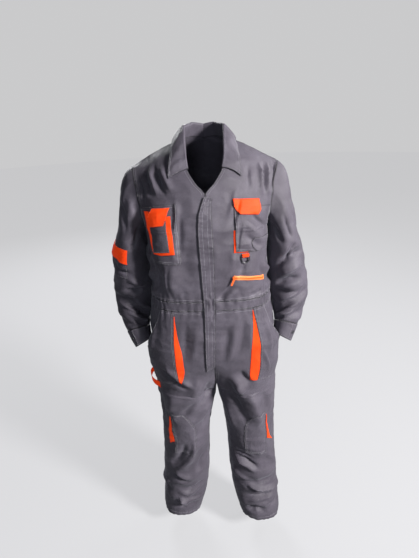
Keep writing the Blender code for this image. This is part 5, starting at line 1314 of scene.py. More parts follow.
# After sheen and roughness come the share of colour kept at the edges under the painted seam shade, the gloss, and the
# painted glow, which makes the orange cloth and tape give off light of their own.
GREY = twill_material("grey_twill", (0.060, 0.0525, 0.0680), (0.080, 0.071, 0.091), (0.042, 0.0365, 0.0480), 0.10, 0.56)
ORANGE = twill_material("orange_twill", (0.60, 0.040, 0.002), (0.66, 0.055, 0.004), (0.54, 0.030, 0.001), 0.04, 0.60,
                        0.62, 0.20, 0.55)
TAPE = twill_material("orange_tape", (0.84, 0.24, 0.060), (0.90, 0.34, 0.12), (0.78, 0.16, 0.03), 0.10, 0.50,
                      0.80, 0.35, 0.12)
THREAD = plain_material("grey_thread", (0.27, 0.26, 0.29), 0.60)
ORANGE_THREAD = plain_material("orange_thread", (0.62, 0.06, 0.01), 0.60)
RUBBER = plain_material("dark_plastic", (0.022, 0.022, 0.026), 0.40)
ENAMEL = plain_material("orange_enamel", (0.85, 0.12, 0.02), 0.38, 0.2)
NODE_MATERIALS = {"d_ring": RUBBER, "zip_slider": ENAMEL, "zip_pull": ENAMEL}


# ---------------------------------------------------------------- body panels


def keep(made, name, material, *nodes):
    """Hides the CAD solid that a cloth piece stands for, and returns the piece."""
    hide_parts(*(nodes or (name,)))
    return made


def level_lines(low, high, extra=()):
    inner = lines(high - low) * (high - low) + low
    return np.unique(np.concatenate([inner, [level for level in extra if low < level < high]]))


def panel_points(piece, across, levels, raised=0.0):
    """Trimmed outer grid, inner grid and weave of a panel. raised lifts a doubled band off its own edges."""
    grid_across, grid_level = np.meshgrid(across, levels)
    points, normals = piece.place(grid_across, grid_level)
    points = trim_edges(points)
    if raised:
        from_edge = np.minimum(grid_level - levels[0], levels[-1] - grid_level)
        points = points + normals * (raised * MM * rounded_edge(from_edge, 1.4))[..., None]
    inner = points - normals * (CLOTH + (raised * MM if raised else 0))
    for grid in (points, inner):
        grid[..., 0] = np.maximum(grid[..., 0] * piece.side, SEAM_GAP / 2) * piece.side
    return points, inner, weave(grid_across * ROW_LENGTH * piece.side, grid_level)


def add_panel(name, piece, levels, raised=0.0):
    outer, inner, cloth = panel_points(piece, lines(ROW_LENGTH), levels, raised)
    keep(add_shell(name, outer, inner, cloth, GREY), name, GREY)


def add_across_back(name, levels, raised=0.0):
    """One panel over both halves of the back, from the right side seam to the left one, open above the nape."""
    across = lines(ROW_LENGTH)
    joined = int((levels <= COLLAR_END).sum())
    rows, columns = len(levels), len(across)
    outers, inners, cloths, borders, faces = [], [], [], [], []
    for number, side in enumerate((-1, 1)):
        outer, inner, cloth = panel_points(Piece(1, side), across, levels, raised)
        borders.append(border_distance(outer, halved=True).ravel())
        outer[:joined, 0, 0], inner[:joined, 0, 0] = 0, 0
        outers.append(outer.reshape(-1, 3))
        inners.append(inner.reshape(-1, 3))
        cloths.append(cloth.reshape(-1, 3))
        faces.append(grid_faces(rows, columns, number * rows * columns, flip=side > 0))
    faces = np.concatenate(faces)
    index = np.arange(2 * rows * columns)
    index[rows * columns + np.arange(joined) * columns] = np.arange(joined) * columns
    faces = index[faces]
    ways = {(a, b) for face in faces.tolist() for a, b in zip(face, face[1:] + face[:1])}
    count = len(index)
    rims = [(b, a, count + a, count + b) for a, b in sorted(ways) if (b, a) not in ways]
    faces = np.concatenate([faces, faces[:, ::-1] + count, np.array(rims)])
    used, faces = np.unique(faces, return_inverse=True)
    faces = faces.reshape(-1, 4)
    vertices = stand(np.concatenate(outers + inners))[used]
    if signed_volume(vertices - vertices.mean(axis=0), faces) < 0:
        faces = faces[:, ::-1]
    cloth, border = (np.concatenate(parts + parts)[used] for parts in (cloths, borders))
    keep(add_mesh(name, vertices, faces.tolist(), GREY, cloth, border=border), name, GREY)


UPPER = level_lines(WAIST_SEAM, SHOULDER, (ARMPIT, NECK_V, COLLAR_END))
LOWER = level_lines(HEM, BAND_BOTTOM, (CROTCH,))
BAND = level_lines(BAND_BOTTOM, WAIST_SEAM)
BAND_RAISED = 0.8
SEAM_ROWS = (2.2, 8.2)  # mm from a seam


def edge_row(piece, across, levels, inset=0.0, by_level=False):
    """Points and normals along a panel at the given places; inset is not used."""
    across, levels = np.broadcast_arrays(np.asarray(across, float), np.asarray(levels, float))
    return piece.place(across, levels)


def sew_body():
    for side, word in ((-1, "right"), (1, "left")):
        front, back = Piece(-1, side), Piece(1, side)
        up = np.arange(WAIST_SEAM + 2, ARMPIT - 2, 3.0)
        down = np.arange(HEM + 2, BAND_BOTTOM - 1, 3.0)
        leg = np.arange(HEM + 2, CROTCH - 4, 3.0)
        for inset in SEAM_ROWS:
            share = 1 - inset / ROW_LENGTH
            for levels in (up, down):
                sew(f"seams_{word}", *back.place(share, levels))
            sew(f"seams_{word}", *back.place(1 - share, leg))
            sew(f"seams_{word}", *front.place(lines(ROW_LENGTH, 3), WAIST_SEAM + inset))
            sew(f"seams_{word}", *back.place(lines(ROW_LENGTH, 3), WAIST_SEAM + inset))
            sew(f"seams_{word}", *front.place(np.linspace(0.02, 0.99, 80), BAND_BOTTOM - inset))
            sew(f"seams_{word}", *back.place(np.linspace(0.01, 0.99, 80), BAND_BOTTOM - inset))
            sew(f"seams_{word}", *back.place(np.linspace(0.03, 0.97, 60), SHOULDER - inset * 1.1))
        for piece in (front, back):
            for inset in SEAM_ROWS:
                sew_armhole(piece, inset, word)
            sew(f"seams_{word}", *piece.place(np.linspace(0.01, 0.99, 90), HEM + 22))
        seat = np.arange(CROTCH + 12, BAND_BOTTOM - 2, 3.0)
        for inset in SEAM_ROWS:
            if side > 0:
                sew(f"seams_{word}", *back.place(inset / ROW_LENGTH, seat))
        fork = np.arange(CROTCH + 12, 812, 3.0)
        if side > 0:
            sew(f"seams_{word}", *front.place(2.2 / ROW_LENGTH, fork))
            sew(f"seams_{word}", *front.place(8.2 / ROW_LENGTH, fork))
        sew_neck_edge(front, word)


def sew_armhole(piece, inset, word):
    """Beside the armhole, on the body."""
    levels = np.concatenate([np.linspace(ARMPIT + 3, 1350, 20), np.linspace(1350, SHOULDER - 1, 50)[1:]])
    near = piece.base(0.99, levels) - piece.base(1.0, levels)
    share = 1 - 0.01 * inset * MM / np.linalg.norm(near, axis=-1)
    sew(f"seams_{word}", *piece.place(share, levels))


def sew_neck_edge(front, word):
    """Down the free edge of the V, from the collar's end."""
    levels = np.arange(NECK_V + 2, COLLAR_END + 1, 3.0)
    near = front.base(0.01, levels) - front.base(0.0, levels)
    for inset in (2.0, 9.0):
        share = 0.01 * inset * MM / np.linalg.norm(near, axis=-1)
        sew(f"seams_{word}", *front.place(share, levels))


def add_body():
    for side, word in ((-1, "right"), (1, "left")):
        front, back = Piece(-1, side), Piece(1, side)
        add_panel(f"front_{word}", front, UPPER)
        add_panel(f"trouser_front_{word}", front, LOWER)
        add_panel(f"trouser_back_{word}", back, LOWER)
        add_panel(f"waistband_{word}", front, BAND, BAND_RAISED)
    add_across_back("back", UPPER)
    add_across_back("waistband_back", BAND, BAND_RAISED)


def band_stitches():
    for side, word in ((-1, "right"), (1, "left")):
        for facing in (-1, 1):
            for level in (BAND_BOTTOM + 2.4, WAIST_SEAM - 2.4):
                points, normals = Piece(facing, side).place(np.linspace(0.01, 0.99, 90), level)
                sew(f"seams_{word}", points + normals * BAND_RAISED * MM, normals)


# ---------------------------------------------------------------- sleeves and cuffs

CUFF_LENGTH = 52  # mm along the cuff
CUFF_RAISED = 0.9


def cuff_place(side, turn, at):
    turn, at = np.broadcast_arrays(np.asarray(turn, float), np.asarray(at, float))
    base = table_ring(CUFF, at, side, turn)
    round_way = table_ring(CUFF, at, side, turn + 0.004) - table_ring(CUFF, at, side, turn - 0.004)
    up, down = np.maximum(at - 0.03, 0), np.minimum(at + 0.03, 2)
    normals = unit(np.cross(round_way, table_ring(CUFF, down, side, turn) - table_ring(CUFF, up, side, turn)) * -side)
    height = crumple(base / MM) * 0.35 + 0.25 * np.cos(2 * np.pi * 34 * turn) * np.exp(-at / 0.25)
    overlap = 1.2 * ease((turn - 0.30) * 130) * ease((0.62 - turn) * 4)
    return base + normals * ((height + overlap) * ease(at * 9))[..., None] * MM, normals


def add_sleeves():
    for side, word in ((-1, "right"), (1, "left")):
        sleeve = ARMS[side]
        cap = np.linspace(-1, 0, 30)[:-1]
        down = np.linspace(0, sleeve.last, 92)
        at = np.concatenate([[-1, -0.992, -0.98], cap[1:], down])
        turn = np.linspace(0, 1, int(ARM_ROUND / STEP) + 1)[:-1]
        grid_turn, grid_at = np.meshgrid(turn, at)
        points, normals = sleeve.place(grid_turn, grid_at)
        cloth = weave(grid_turn * ARM_ROUND, points[..., 2] / MM)
        inner = points - normals * CLOTH
        keep(add_shell(f"sleeve_{word}", points, inner, cloth, GREY, closed=True), f"sleeve_{word}", GREY)
        shares = lines(CUFF_LENGTH, 2.5) * 2
        grid_turn, grid_at = np.meshgrid(turn, shares)
        points, normals = cuff_place(side, grid_turn, grid_at)
        near = np.minimum(grid_at, 2 - grid_at) * CUFF_LENGTH / 2
        outer = points + normals * (CUFF_RAISED * MM * rounded_edge(near))[..., None]
        cloth = weave(grid_turn * 250, grid_at * CUFF_LENGTH / 2)
        made = add_shell(f"cuff_{word}", outer, points - normals * CLOTH, cloth, GREY, closed=True)
        keep(made, f"cuff_{word}", GREY)
        sew_sleeve(side, word, sleeve)
        add_button(side, word)


def sew_sleeve(side, word, sleeve):
    group = f"sleeves_{word}"
    at = np.concatenate([np.linspace(-0.97, 0, 30), np.linspace(0, sleeve.last, 120)[1:]])
    for inset in SEAM_ROWS:
        sew(group, *sleeve.place(inset / ARM_ROUND, at))
    turn = np.linspace(0, 1, 120)
    for share in (0.12, 1.88):
        points, normals = cuff_place(side, turn, share)
        sew(group, points + normals * CUFF_RAISED * MM, normals)
    share = np.linspace(0.08, 1.92, 20)
    points, normals = cuff_place(side, 0.3125, share)
    sew(group, points + normals * CUFF_RAISED * MM, normals)


BUTTON_TURN = 0.36
BUTTON_PROFILE = (
    # radius, height above the cuff, mm
    (0.0, 2.3), (2.6, 2.3), (3.2, 2.5), (3.6, 3.0), (4.6, 3.1), (5.4, 2.8), (5.7, 2.1), (5.5, 1.4), (4.2, 0.9), (0.0, 0.9),
)


def add_button(side, word):
    points, normals = cuff_place(side, np.array([BUTTON_TURN]), np.array([1.0]))
    middle, normal = stand(points)[0] + normals[0] * CUFF_RAISED * MM * 0.4, normals[0]
    a = unit(np.cross(normal, (0, 0, 1)))
    b = np.cross(normal, a)
    sides = 28
    rings = []
    for radius, high in BUTTON_PROFILE[1:-1]:
        rings.append([middle + (a * math.cos(t) * radius + b * math.sin(t) * radius + normal * high) * MM
                      for t in np.linspace(0, 2 * np.pi, sides + 1)[:-1]])
    vertices = np.array(rings).reshape(-1, 3)
    count = len(rings)
    faces = grid_faces(count, sides, closed=True).tolist()
    tips = [middle + normal * BUTTON_PROFILE[k][1] * MM for k in (0, -1)]
    top, bottom = count * sides, count * sides + 1
    faces += [(j, (j + 1) % sides, top) for j in range(sides)]
    last = (count - 1) * sides
    faces += [(last + (j + 1) % sides, last + j, bottom) for j in range(sides)]
    made = add_mesh(f"button_{word}", np.concatenate([vertices, tips]), faces, RUBBER)
    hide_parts(f"cuff_button_{word}")


# ---------------------------------------------------------------- patches

SMOOTH_OUTLINES = ("knee_patch_right", "knee_patch_left", "knee_gusset_right", "knee_gusset_left", "pen_patch_left")
STITCHED = {
    # name: (group, edges, insets)
    "chest_patch_right": ("patches", ("left", "right", "first", "last"), (2.2, 7.5)),
    "phone_pocket_right": ("patches", ("left", "right", "first", "last"), (2.0,)),
    "chest_pocket_left": ("patches", ("left", "right", "first"), (2.2, 7.5)),
    "pen_patch_left": ("patches", ("left", "right", "first", "last"), (2.0,)),
    "knee_patch_right": ("patches", ("left", "right", "first", "last"), (2.2, 8.0)),
    "knee_patch_left": ("patches", ("left", "right", "first", "last"), (2.2, 8.0)),
    "phone_flap_right": ("orange", ("left", "right", "first"), (2.0,)),
    "chest_flap_left": ("orange", ("left", "right", "first"), (2.0,)),
    "zip_tape_left": ("orange", ("first", "last"), (1.8,)),
}


def row_sheet(rows, smooth=False, bulge=0.0, sag=0.0):
    """A function of (s, t) over a table of rows of (across, level, lift) ends, with its width and length in mm."""
    rows = np.array(rows, float)
    if smooth and len(rows) > 2:
        keyed = np.concatenate([np.arange(len(rows))[:, None], rows], axis=1)
        ends = lambda t: spline(keyed, t * (len(rows) - 1))
    else:
        ends = lambda t: np.stack([np.interp(t * (len(rows) - 1), np.arange(len(rows)), rows[:, k])
                                   for k in range(6)], -1)

    def flat(s, t):
        at = ends(t)
        place = at[..., :3] * (1 - s[..., None]) + at[..., 3:] * s[..., None]
        lift = place[..., 2] + bulge * np.sin(np.pi * t) * np.sin(np.pi * s)
        lift = lift + sag * np.sin(np.pi * s) * (1 - t)
        return place[..., 0], place[..., 1], lift

    t = np.linspace(0, 1, 41)
    middle = np.stack([(ends(t)[:, 0] + ends(t)[:, 3]) / 2 * ROW_LENGTH, (ends(t)[:, 1] + ends(t)[:, 4]) / 2], -1)
    length = np.linalg.norm(np.diff(middle, axis=0), axis=1).sum()
    wide = np.hypot((ends(t)[:, 3] - ends(t)[:, 0]) * ROW_LENGTH, ends(t)[:, 4] - ends(t)[:, 1])
    return flat, max(wide.max(), 3.0), max(length, 3.0)


def seen_rows(rows):
    """Turns rows seen from the front (x, z, lift) into rows of (across, level, lift)."""
    rows = np.array(rows, float)
    for first in (0, 3):
        side, across, level = find_on_front(rows[:, first], rows[:, first + 1])
        rows[:, first], rows[:, first + 1] = side * across, level
    return rows


def even_rows(rows):
    """Repeats the rows at about even steps, so that (s, t) steps are alike along a sheet."""
    rows = np.array(rows, float)
    middle = np.stack([(rows[:, 0] + rows[:, 3]) / 2 * ROW_LENGTH, (rows[:, 1] + rows[:, 4]) / 2], -1)
    run = np.concatenate([[0], np.cumsum(np.linalg.norm(np.diff(middle, axis=0), axis=1))])
    at = np.unique(np.concatenate([np.linspace(0, run[-1], 4 * len(rows) + 1), run]))
    return np.stack([np.interp(at, run, rows[:, k]) for k in range(6)], -1), run / run[-1]


def front_sheet(name, rows, smooth=False, bulge=0.0):
    flat, width, length = row_sheet(rows, smooth, bulge)

    def at(s, t):
        across, level, lift = flat(s, t)
        return on_front(across, level, lift)

    return Sheet(at, width, length)


LENGTHS_KEPT = 24  # samples for the rows' spacing


def add_patches():
    for name, (slot, _steps, bulge, rows) in PATCHES.items():
        material = {"cloth_grey": GREY, "cloth_orange": ORANGE}[slot]
        if name == "zip_tape_left":
            material = TAPE
        rows = seen_rows(rows)
        sheet = front_sheet(name, rows, name in SMOOTH_OUTLINES, bulge)
        keep(sheet.shell(name, material, step=2.5), name, material)
        if name in STITCHED:
            group, edges, insets = STITCHED[name]
            sheet.sew_edges(group, edges, insets)
    rows = seen_rows([(right, z, L0, left, z, L0) for z, right, left in PLACKET])
    flat, width, length = row_sheet(rows)

    def at(s, t):
        across, level, lift = flat(s, t)
        puckers = 0.55 * np.cos(2 * np.pi * level / 13 + 2.5 * np.sin(level / 31)) * np.exp(-(np.abs(s - 0.2) / 0.2) ** 2)
        puckers = puckers + 0.45 * np.cos(2 * np.pi * level / 15 + 1.3) * np.exp(-(np.abs(s - 0.85) / 0.15) ** 2)
        return on_front(across, level, lift + 0.6 + 2.0 * (1 - s) ** 2 + puckers)

    placket = Sheet(at, width, length)
    keep(placket.shell("placket", GREY, thickness=CLOTH, step=2.5), "placket", GREY)
    placket.sew_edges("patches", ("left", "right"), (2.2, 8.0), CLOTH)
    placket.sew_edges("patches", ("first", "last"), (2.2,), CLOTH)


def add_hip_pockets():
    for side, word in ((-1, "right"), (1, "left")):
        seam = np.array(HIP_SEAM[side], float)
        _, edge, edge_level = find_on_front(seam[:, 1] * side, seam[:, 0])
        _, other, other_level = find_on_front(seam[:, 2] * side, seam[:, 0])
        edges = np.stack([edge_level, edge], -1)
        others = np.stack([other_level, other], -1)
        top = HIP_GUSSET_TOP[side]

        def pocket(s, t, side=side, edges=edges):
            foot, mouth = np.interp(s, *np.array(HIP_FOOT).T), spline(HIP_MOUTH, s)[..., 0]
            level = foot + (mouth - foot) * t
            inner = spline(edges, level)[..., 0]
            across = inner + (0.996 - inner) * s
            lift = L0 + spline(HIP_FULLNESS, s)[..., 0] * spline(HIP_HEIGHT, level)[..., 0]
            return on_front(side * across, level, lift)

        def gusset(s, t, side=side, edges=edges, others=others, top=top):
            low = 774.0
            level = low + (top - low) * t
            start = spline(edges, level)[..., 0] - HIP_GUSSET_GAP
            stop = spline(others, level)[..., 0]
            lift = L0 + spline(HIP_FULLNESS, np.zeros(1))[0, 0] * spline(HIP_HEIGHT, level)[..., 0]
            return on_front(side * (start + (stop - start) * s), level, lift * (1 - s) + L0 * s)

        sheet = Sheet(pocket, 210, 270)
        keep(sheet.shell(f"hip_pocket_{word}", GREY, step=3.5), f"hip_pocket_{word}", GREY)
        sheet.sew_edges("pockets", ("left", "last"), (2.2, 8.0))
        sheet.sew_edges("pockets", ("first",), (2.2,))
        sheet = Sheet(gusset, 28, 265)
        keep(sheet.shell(f"hip_gusset_{word}", ORANGE, step=2.5), f"hip_gusset_{word}", ORANGE)


def add_sleeve_pocket():
    sleeve = ARMS[-1]
    for name, rows, material, group in (("sleeve_pocket_right", SLEEVE_POCKET, GREY, "patches"),
                                        ("sleeve_flap_right", SLEEVE_FLAP, ORANGE, "orange")):
        flat, _width, _length = row_sheet(rows)

        def at(s, t, flat=flat):
            turn, place, lift = flat(s, t)
            points, normals = sleeve.place(turn, place)
            return points + normals * (lift * MM)[..., None], normals

        sheet = Sheet(at, 105, 75 if group == "patches" else 52)
        keep(sheet.shell(name, material, step=2.5), name, material)
        edges = ("left", "right", "first") if group == "orange" else ("left", "right", "first", "last")
        sheet.sew_edges(group, edges, (2.0,))


def add_tool_loop():
    around, level, lift = np.array(TOOL_LOOP).T
    keys = np.arange(len(around))
    table = np.stack([keys, around, level, lift], -1)

    def at(s, t):
        here = spline(table, t * (len(keys) - 1))
        edge = (s * 2 - 1) * TOOL_LOOP_HALF_WIDTH
        return on_leg(-1, here[..., 0], here[..., 1] + edge, here[..., 2])

    sheet = Sheet(at, 2 * TOOL_LOOP_HALF_WIDTH, 82)
    keep(sheet.shell("tool_loop", ORANGE, step=2.5), "tool_loop", ORANGE)
    sheet.sew_edges("orange", ("left", "right"), (2.0,))


# ---------------------------------------------------------------- collar

def neckline(side, along):
    """Points on the neckline and the level ways into the neck hole, at places along it."""
    pieces = []
    upper = np.linspace(COLLAR_END, SHOULDER, 30)
    for facing, levels, start, stop in ((-1, upper, 0, SHOULDER_ALONG), (1, upper[::-1], SHOULDER_ALONG, 1)):
        edge, _ = Piece(facing, side).place(np.zeros(len(levels)), levels)
        run = np.concatenate([[0], np.cumsum(np.linalg.norm(np.diff(edge, axis=0), axis=1))])
        pieces.append((start + (stop - start) * run / run[-1], edge))
    keys = np.concatenate([part[0] for part in pieces])
    points = np.concatenate([part[1] for part in pieces])
    here = np.stack([np.interp(along, keys, points[:, k]) for k in range(3)], -1)
    ahead = np.stack([np.interp(along + 0.03, keys, points[:, k]) for k in range(3)], -1)
    behind = np.stack([np.interp(along - 0.03, keys, points[:, k]) for k in range(3)], -1)
    way = ahead - behind
    into = np.stack([way[:, 1], -way[:, 0], 0 * along], -1)
    into *= np.sign((into * (np.array([0, -0.015, 0]) - here)).sum(-1, keepdims=True))
    into[along >= 1] = (0, -1, 0)
    return here, unit(into)


def smooth_path(path, count):
    """A path of points given again as that many, evenly spaced along a smooth curve."""
    keys = np.arange(len(path))
    at = np.linspace(0, len(path) - 1, 6 * len(path))
    ahead = np.vstack([2 * path[0] - path[1], path, 2 * path[-1] - path[-2]])
    i = np.clip(at.astype(int), 0, len(path) - 2)
    u = (at - i)[:, None]
    p0, p1, p2, p3 = ahead[i], ahead[i + 1], ahead[i + 2], ahead[i + 3]
    curve = 0.5 * (2 * p1 + (p2 - p0) * u + (2 * p0 - 5 * p1 + 4 * p2 - p3) * u**2
                   + (3 * p1 - p0 - 3 * p2 + p3) * u**3)
    run = np.concatenate([[0], np.cumsum(np.linalg.norm(np.diff(curve, axis=0), axis=1))])
    at = np.linspace(0, run[-1], count) if np.isscalar(count) else count * run[-1]
    return np.stack([np.interp(at, run, curve[:, k]) for k in range(3)], -1)


COLLAR_ROWS = 46


def nape_around(piece, share, level):
    """Place across the back of the collar's free edge, which turns evenly from the neck's side to the middle."""
    _, _, around, turn_level, _ = spline(COLLAR_BACK, np.array(NAPE_TURN))
    side, _ = piece.place(np.array([around]), np.array([turn_level]))
    out = abs(side[0, 0]) * math.cos(math.pi / 2 * share ** 1.3)
    across = np.linspace(0, 0.8, 81)
    places, _ = piece.place(across, np.full(len(across), float(level)))
    return float(np.interp(out, np.abs(places[:, 0]), across))


def add_collar():
    along = np.concatenate([[0, 0.004, 0.01], np.linspace(0.018, SHOULDER_ALONG, 44),
                            np.linspace(SHOULDER_ALONG, 1, 46)[1:]])
    shares = np.concatenate([np.linspace(0, 0.965, COLLAR_ROWS), [0.98, 0.992, 1.0]])
    halves = []
    for side in (-1, 1):
        seam, into = neckline(side, along)
        up = np.array([0, 0, 1.0])
        profile = []
        for k, at in enumerate(along):
            table, facing = (COLLAR, -1) if at <= SHOULDER_ALONG + 1e-9 else (COLLAR_BACK, 1)
            stand_up, roll, around, level, lift = spline(table, np.array(at))
            piece = Piece(facing, side)
            if at > NAPE_TURN:
                around = nape_around(piece, (at - NAPE_TURN) / (1 - NAPE_TURN), level)
            edge, normal = piece.place(np.array([around]), np.array([level]))
            edge = edge[0] + normal[0] * lift * MM
            base = seam[k] + into[k] * 2 * SEAM_GAP
            crest = base + (up + into[k] * STAND_LEAN) * stand_up * MM
            over = crest - into[k] * roll * MM - up * 0.12 * roll * MM
            path = [base, base + (crest - base) * 0.5 + into[k] * 0.6 * MM, crest - up * 1.2 * MM,
                    crest - into[k] * 0.5 * roll * MM + up * 1.6 * MM, over]
            wave = 1.2 * math.sin(19 * at + side) + 0.8 * math.sin(41 * at + 2 * side)
            for share in (0.33, 0.67, 1.0):
                rise = (3.5 + wave) * math.sin(math.pi * share)
                path.append(over + (edge - over) * share + up * rise * MM)
            profile.append(smooth_path(np.array(path), shares))
        halves.append(np.array(profile))
    under = np.concatenate([halves[0], halves[1][-2::-1]])
    along_way = np.gradient(under, axis=0)
    path_way = np.gradient(under, axis=1)
    normals = unit(np.cross(along_way, path_way))
    if normals[2, 0] @ np.array([1.0, 0.0, 0.0]) < 0:
        normals = -normals
    width, length = 430.0, 78.0
    rows = np.linspace(0, 1, len(under))[:, None]
    under = under + normals * (crumple(under / MM) * 0.4 * ease(shares * 3)[None, :] * ease(rows * 20)
                               * ease((1 - rows) * 20))[..., None] * MM
    near = np.minimum(np.minimum(rows * 900, (1 - rows) * 900), (1 - shares)[None, :] * length)
    outer = under + normals * (TRIM * 1.5 * rounded_edge(near))[..., None]
    cloth = weave(rows * width, shares[None, :] * length)
    keep(add_shell("collar", outer, under, cloth, GREY), "collar", GREY)
    for inset in (2.2, 8.0):
        share = 1 - inset / length
        line = np.array([[np.interp(share, shares, row[:, k]) for k in range(3)] for row in outer])
        ways = np.array([[np.interp(share, shares, row[:, k]) for k in range(3)] for row in normals])
        sew("collar", line[3:-3], unit(ways[3:-3]))
    for row in (2, -3):
        inside = (shares > 0.5) & (shares < 0.985)
        sew("collar", outer[row][inside], normals[row][inside])


# ---------------------------------------------------------------- loop, ring, zip

def frame_on_front(x, z, lift):
    """Origin, level sideways way, outward way and downward way at a place on the front, as standing."""
    side, across, level = find_on_front(np.array([x]), np.array([z]))
    piece = Piece(-1, int(side[0]))
    base, normal = piece.base(across, level), piece.normals(across, level)
    height = fold_height(piece.side, across, level)
    here = base + normal * (height + lift)[..., None] * MM
    side_way = unit(np.array([-normal[0, 1], normal[0, 0], 0.0]))
    if side_way[0] < 0:
        side_way = -side_way
    down = unit(np.cross(normal[0], side_way))
    if down[2] > 0:
        down = -down
    return stand(here)[0], side_way, normal[0], down


RING_AT = (101, 1223)  # the ring's bar, seen from the front
RING_BAR_LIFT = 3.3
RING_WIRE = 1.4
STRAP_HALF_WIDTH = 9.8
STRAP_TOP = 7.6  # above the bar
STRAP = 1.0


def add_ring_strap():
    origin, across, out, down = frame_on_front(*RING_AT, RING_BAR_LIFT)
    radius = RING_WIRE + 0.35
    path = [(-STRAP_TOP, -RING_BAR_LIFT + 0.35 + STRAP), (-4.5, -min(radius, RING_BAR_LIFT - 0.35 - STRAP))]
    path += [(radius * math.sin(a), -radius * math.cos(a)) for a in np.radians(np.linspace(0, 180, 13))]
    path += [(-4.5, radius), (-STRAP_TOP, radius - 0.2)]
    path = np.array(path)
    way = unit(np.gradient(path, axis=0))
    out_way = np.stack([way[:, 1], -way[:, 0]], -1)
    if (out_way[7] * path[7]).sum() < 0:
        out_way = -out_way
    widths = lines(2 * STRAP_HALF_WIDTH, 1.5, (0.3, 0.8)) * 2 - 1
    grids = []
    for thick in (STRAP, 0.0):
        line = path + out_way * thick
        grids.append(np.array([[origin + (across * w * STRAP_HALF_WIDTH + down * d + out * o) * MM
                                for w in widths] for d, o in line]))
    outer, inner = grids
    outer = np.where(np.isin(np.arange(len(widths)), (0, len(widths) - 1))[None, :, None],
                     outer * 0.5 + inner * 0.5, outer)
    rows, columns = outer.shape[:2]
    vertices = np.concatenate([outer.reshape(-1, 3), inner.reshape(-1, 3)])
    faces = np.concatenate([grid_faces(rows, columns), grid_faces(rows, columns, rows * columns, False, True),
                            rim_faces(rows, columns, False)])
    if signed_volume(vertices - vertices.mean(axis=0), faces) < 0:
        faces = faces[:, ::-1]
    run = np.linspace(0, 24, rows)[:, None]
    cloth = weave(widths[None, :] * STRAP_HALF_WIDTH, run)
    made = add_mesh("ring_strap", vertices, faces.tolist(), ORANGE, np.concatenate([cloth.reshape(-1, 3)] * 2))
    keep(made, "ring_strap", ORANGE)


TOOTH_STEP = 2.1
TOOTH = (0.75, 2.3, 1.0)  # half-length along the tape, half-width across it and height, mm


def add_zip_teeth():
    rows = seen_rows(PATCHES["zip_tape_left"][3])
    flat, width, _length = row_sheet(rows)
    count = int((width - 6) / TOOTH_STEP)
    vertices, faces = [], []
    for k in range(count):
        s = np.array([(4 + k * TOOTH_STEP) / width])
        points, normals = on_front(*flat(s, np.array([0.5])))
        ahead, _ = on_front(*flat(s + 0.01, np.array([0.5])))
        middle, normal = stand(points)[0], normals[0]
        way = unit(stand(ahead)[0] - middle)
        across = unit(np.cross(normal, way))
        offset = 0.5 * (1 if k % 2 else -1)
        middle = middle + normal * TRIM + across * offset * MM
        low, high = 0.05, TOOTH[2]
        first = len(vertices)
        for up, narrow in ((low, 1.0), (high, 0.7)):
            for a, b in ((-1, -1), (1, -1), (1, 1), (-1, 1)):
                vertices.append(middle + (way * a * TOOTH[0] * narrow + across * b * TOOTH[1] * narrow
                                          + normal * up) * MM)
        faces += [[first + c for c in face] for face in ((3, 2, 1, 0), (4, 5, 6, 7), (0, 1, 5, 4), (1, 2, 6, 5),
                                                         (2, 3, 7, 6), (3, 0, 4, 7))]
    made = add_mesh("zip_teeth", np.array(vertices), faces, ENAMEL, smooth=False)
    return made


# ---------------------------------------------------------------- stage, light and camera

CAMERA_AT = (-0.0041, -1.2485, 0.124)
CAMERA_DOWN = 0.399
CAMERA_ROLL = 0.0421
LENS_MM = 26.58
LIGHTS = (
    # name, place, aimed at, size, watts, colour
    ("key", (2.75, -2.0, 1.15), (0.0, 0.0, -0.30), 0.7, 440, (1.0, 0.985, 0.965)),
    ("fill", (-0.4, -3.9, 0.6), (0.0, 0.0, -0.8), 1.8, 36, (0.80, 0.90, 1.0)),
    ("back", (-1.3, 3.6, 1.3), (0.0, 0.0, -0.5), 1.6, 150, (0.97, 0.98, 1.0)),
    ("rim_left", (2.4, 1.6, 0.9), (0.0, 0.0, -0.5), 1.0, 30, (1.0, 1.0, 1.0)),
)
WORLD = (0.80, 0.80, 0.81, 1)
WORLD_LIGHT, WORLD_SEEN = 0.13, 0.74  # strength as light, and as the backdrop that is seen
FLOOR_RADIUS = 14


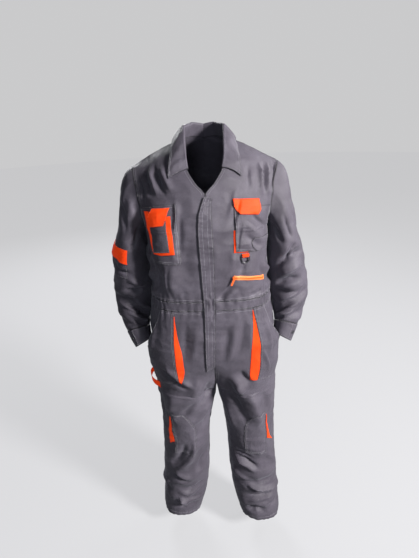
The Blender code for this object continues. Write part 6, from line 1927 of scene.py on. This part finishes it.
def add_stage():
    mesh = bpy.data.meshes.new("floor")
    ring = [(FLOOR_RADIUS * math.cos(t), FLOOR_RADIUS * math.sin(t), -ORIGIN_HEIGHT)
            for t in np.linspace(0, 2 * math.pi, 65)[:-1]]
    mesh.from_pydata(ring, [], [tuple(range(64))])
    made, shader = new_material("floor")
    shader.inputs["Base Color"].default_value = (0.10, 0.10, 0.105, 1)
    shader.inputs["Specular IOR Level"].default_value = 0.1
    shader.inputs["Roughness"].default_value = 0.9
    shader.inputs["Emission Color"].default_value = (0.98, 0.98, 1.0, 1)
    seen = wire(made.node_tree, "ShaderNodeLightPath").outputs["Is Camera Ray"]
    even = wire(made.node_tree, "ShaderNodeMapRange", i_0=seen, i_3=0.08, i_4=0.57).outputs["Result"]
    made.node_tree.links.new(even, shader.inputs["Emission Strength"])
    mesh.materials.append(made)
    floor = bpy.data.objects.new("floor", mesh)
    bpy.context.scene.collection.objects.link(floor)
    world = bpy.data.worlds.new("studio")
    bpy.context.scene.world = world
    world.use_nodes = True
    tree = world.node_tree
    background = tree.nodes["Background"]
    background.inputs["Color"].default_value = WORLD
    seen = wire(tree, "ShaderNodeLightPath").outputs["Is Camera Ray"]
    strength = wire(tree, "ShaderNodeMapRange", i_0=seen, i_3=WORLD_LIGHT, i_4=WORLD_SEEN).outputs["Result"]
    tree.links.new(strength, background.inputs["Strength"])
    bpy.context.scene.view_settings.view_transform = "Standard"
    for name, place, target, size, watts, colour in LIGHTS:
        light = bpy.data.lights.new(name, "AREA")
        light.shape, light.size, light.energy, light.color = "DISK", size, watts, colour
        made = bpy.data.objects.new(name, light)
        made.location = place
        made.rotation_euler = (Vector(target) - Vector(place)).to_track_quat("-Z", "Y").to_euler()
        bpy.context.scene.collection.objects.link(made)
    camera = bpy.data.cameras.new("camera")
    camera.lens, camera.sensor_width, camera.sensor_fit = LENS_MM, 36, "AUTO"
    camera.dof.use_dof = False
    made = bpy.data.objects.new("camera", camera)
    turn = Matrix.Rotation(math.pi / 2 - CAMERA_DOWN, 4, "X") @ Matrix.Rotation(-CAMERA_ROLL, 4, "Z")
    made.matrix_world = Matrix.Translation(Vector(CAMERA_AT)) @ turn
    bpy.context.scene.collection.objects.link(made)
    bpy.context.scene.camera = made


# ---------------------------------------------------------------- everything

ARMS = {side: Sleeve(side) for side in (-1, 1)}

add_body()
band_stitches()
sew_body()
add_sleeves()
add_patches()
add_hip_pockets()
add_sleeve_pocket()
add_tool_loop()
add_collar()
add_ring_strap()
teeth = add_zip_teeth()
for node, material in NODE_MATERIALS.items():
    shown = bpy.data.objects[node]
    for slot in shown.material_slots:
        slot.material = material
sewn = {}
for group in THREADS:
    orange = group == "orange"
    sewn[group] = add_stitches(group, ORANGE_THREAD if orange else THREAD)
add_stage()
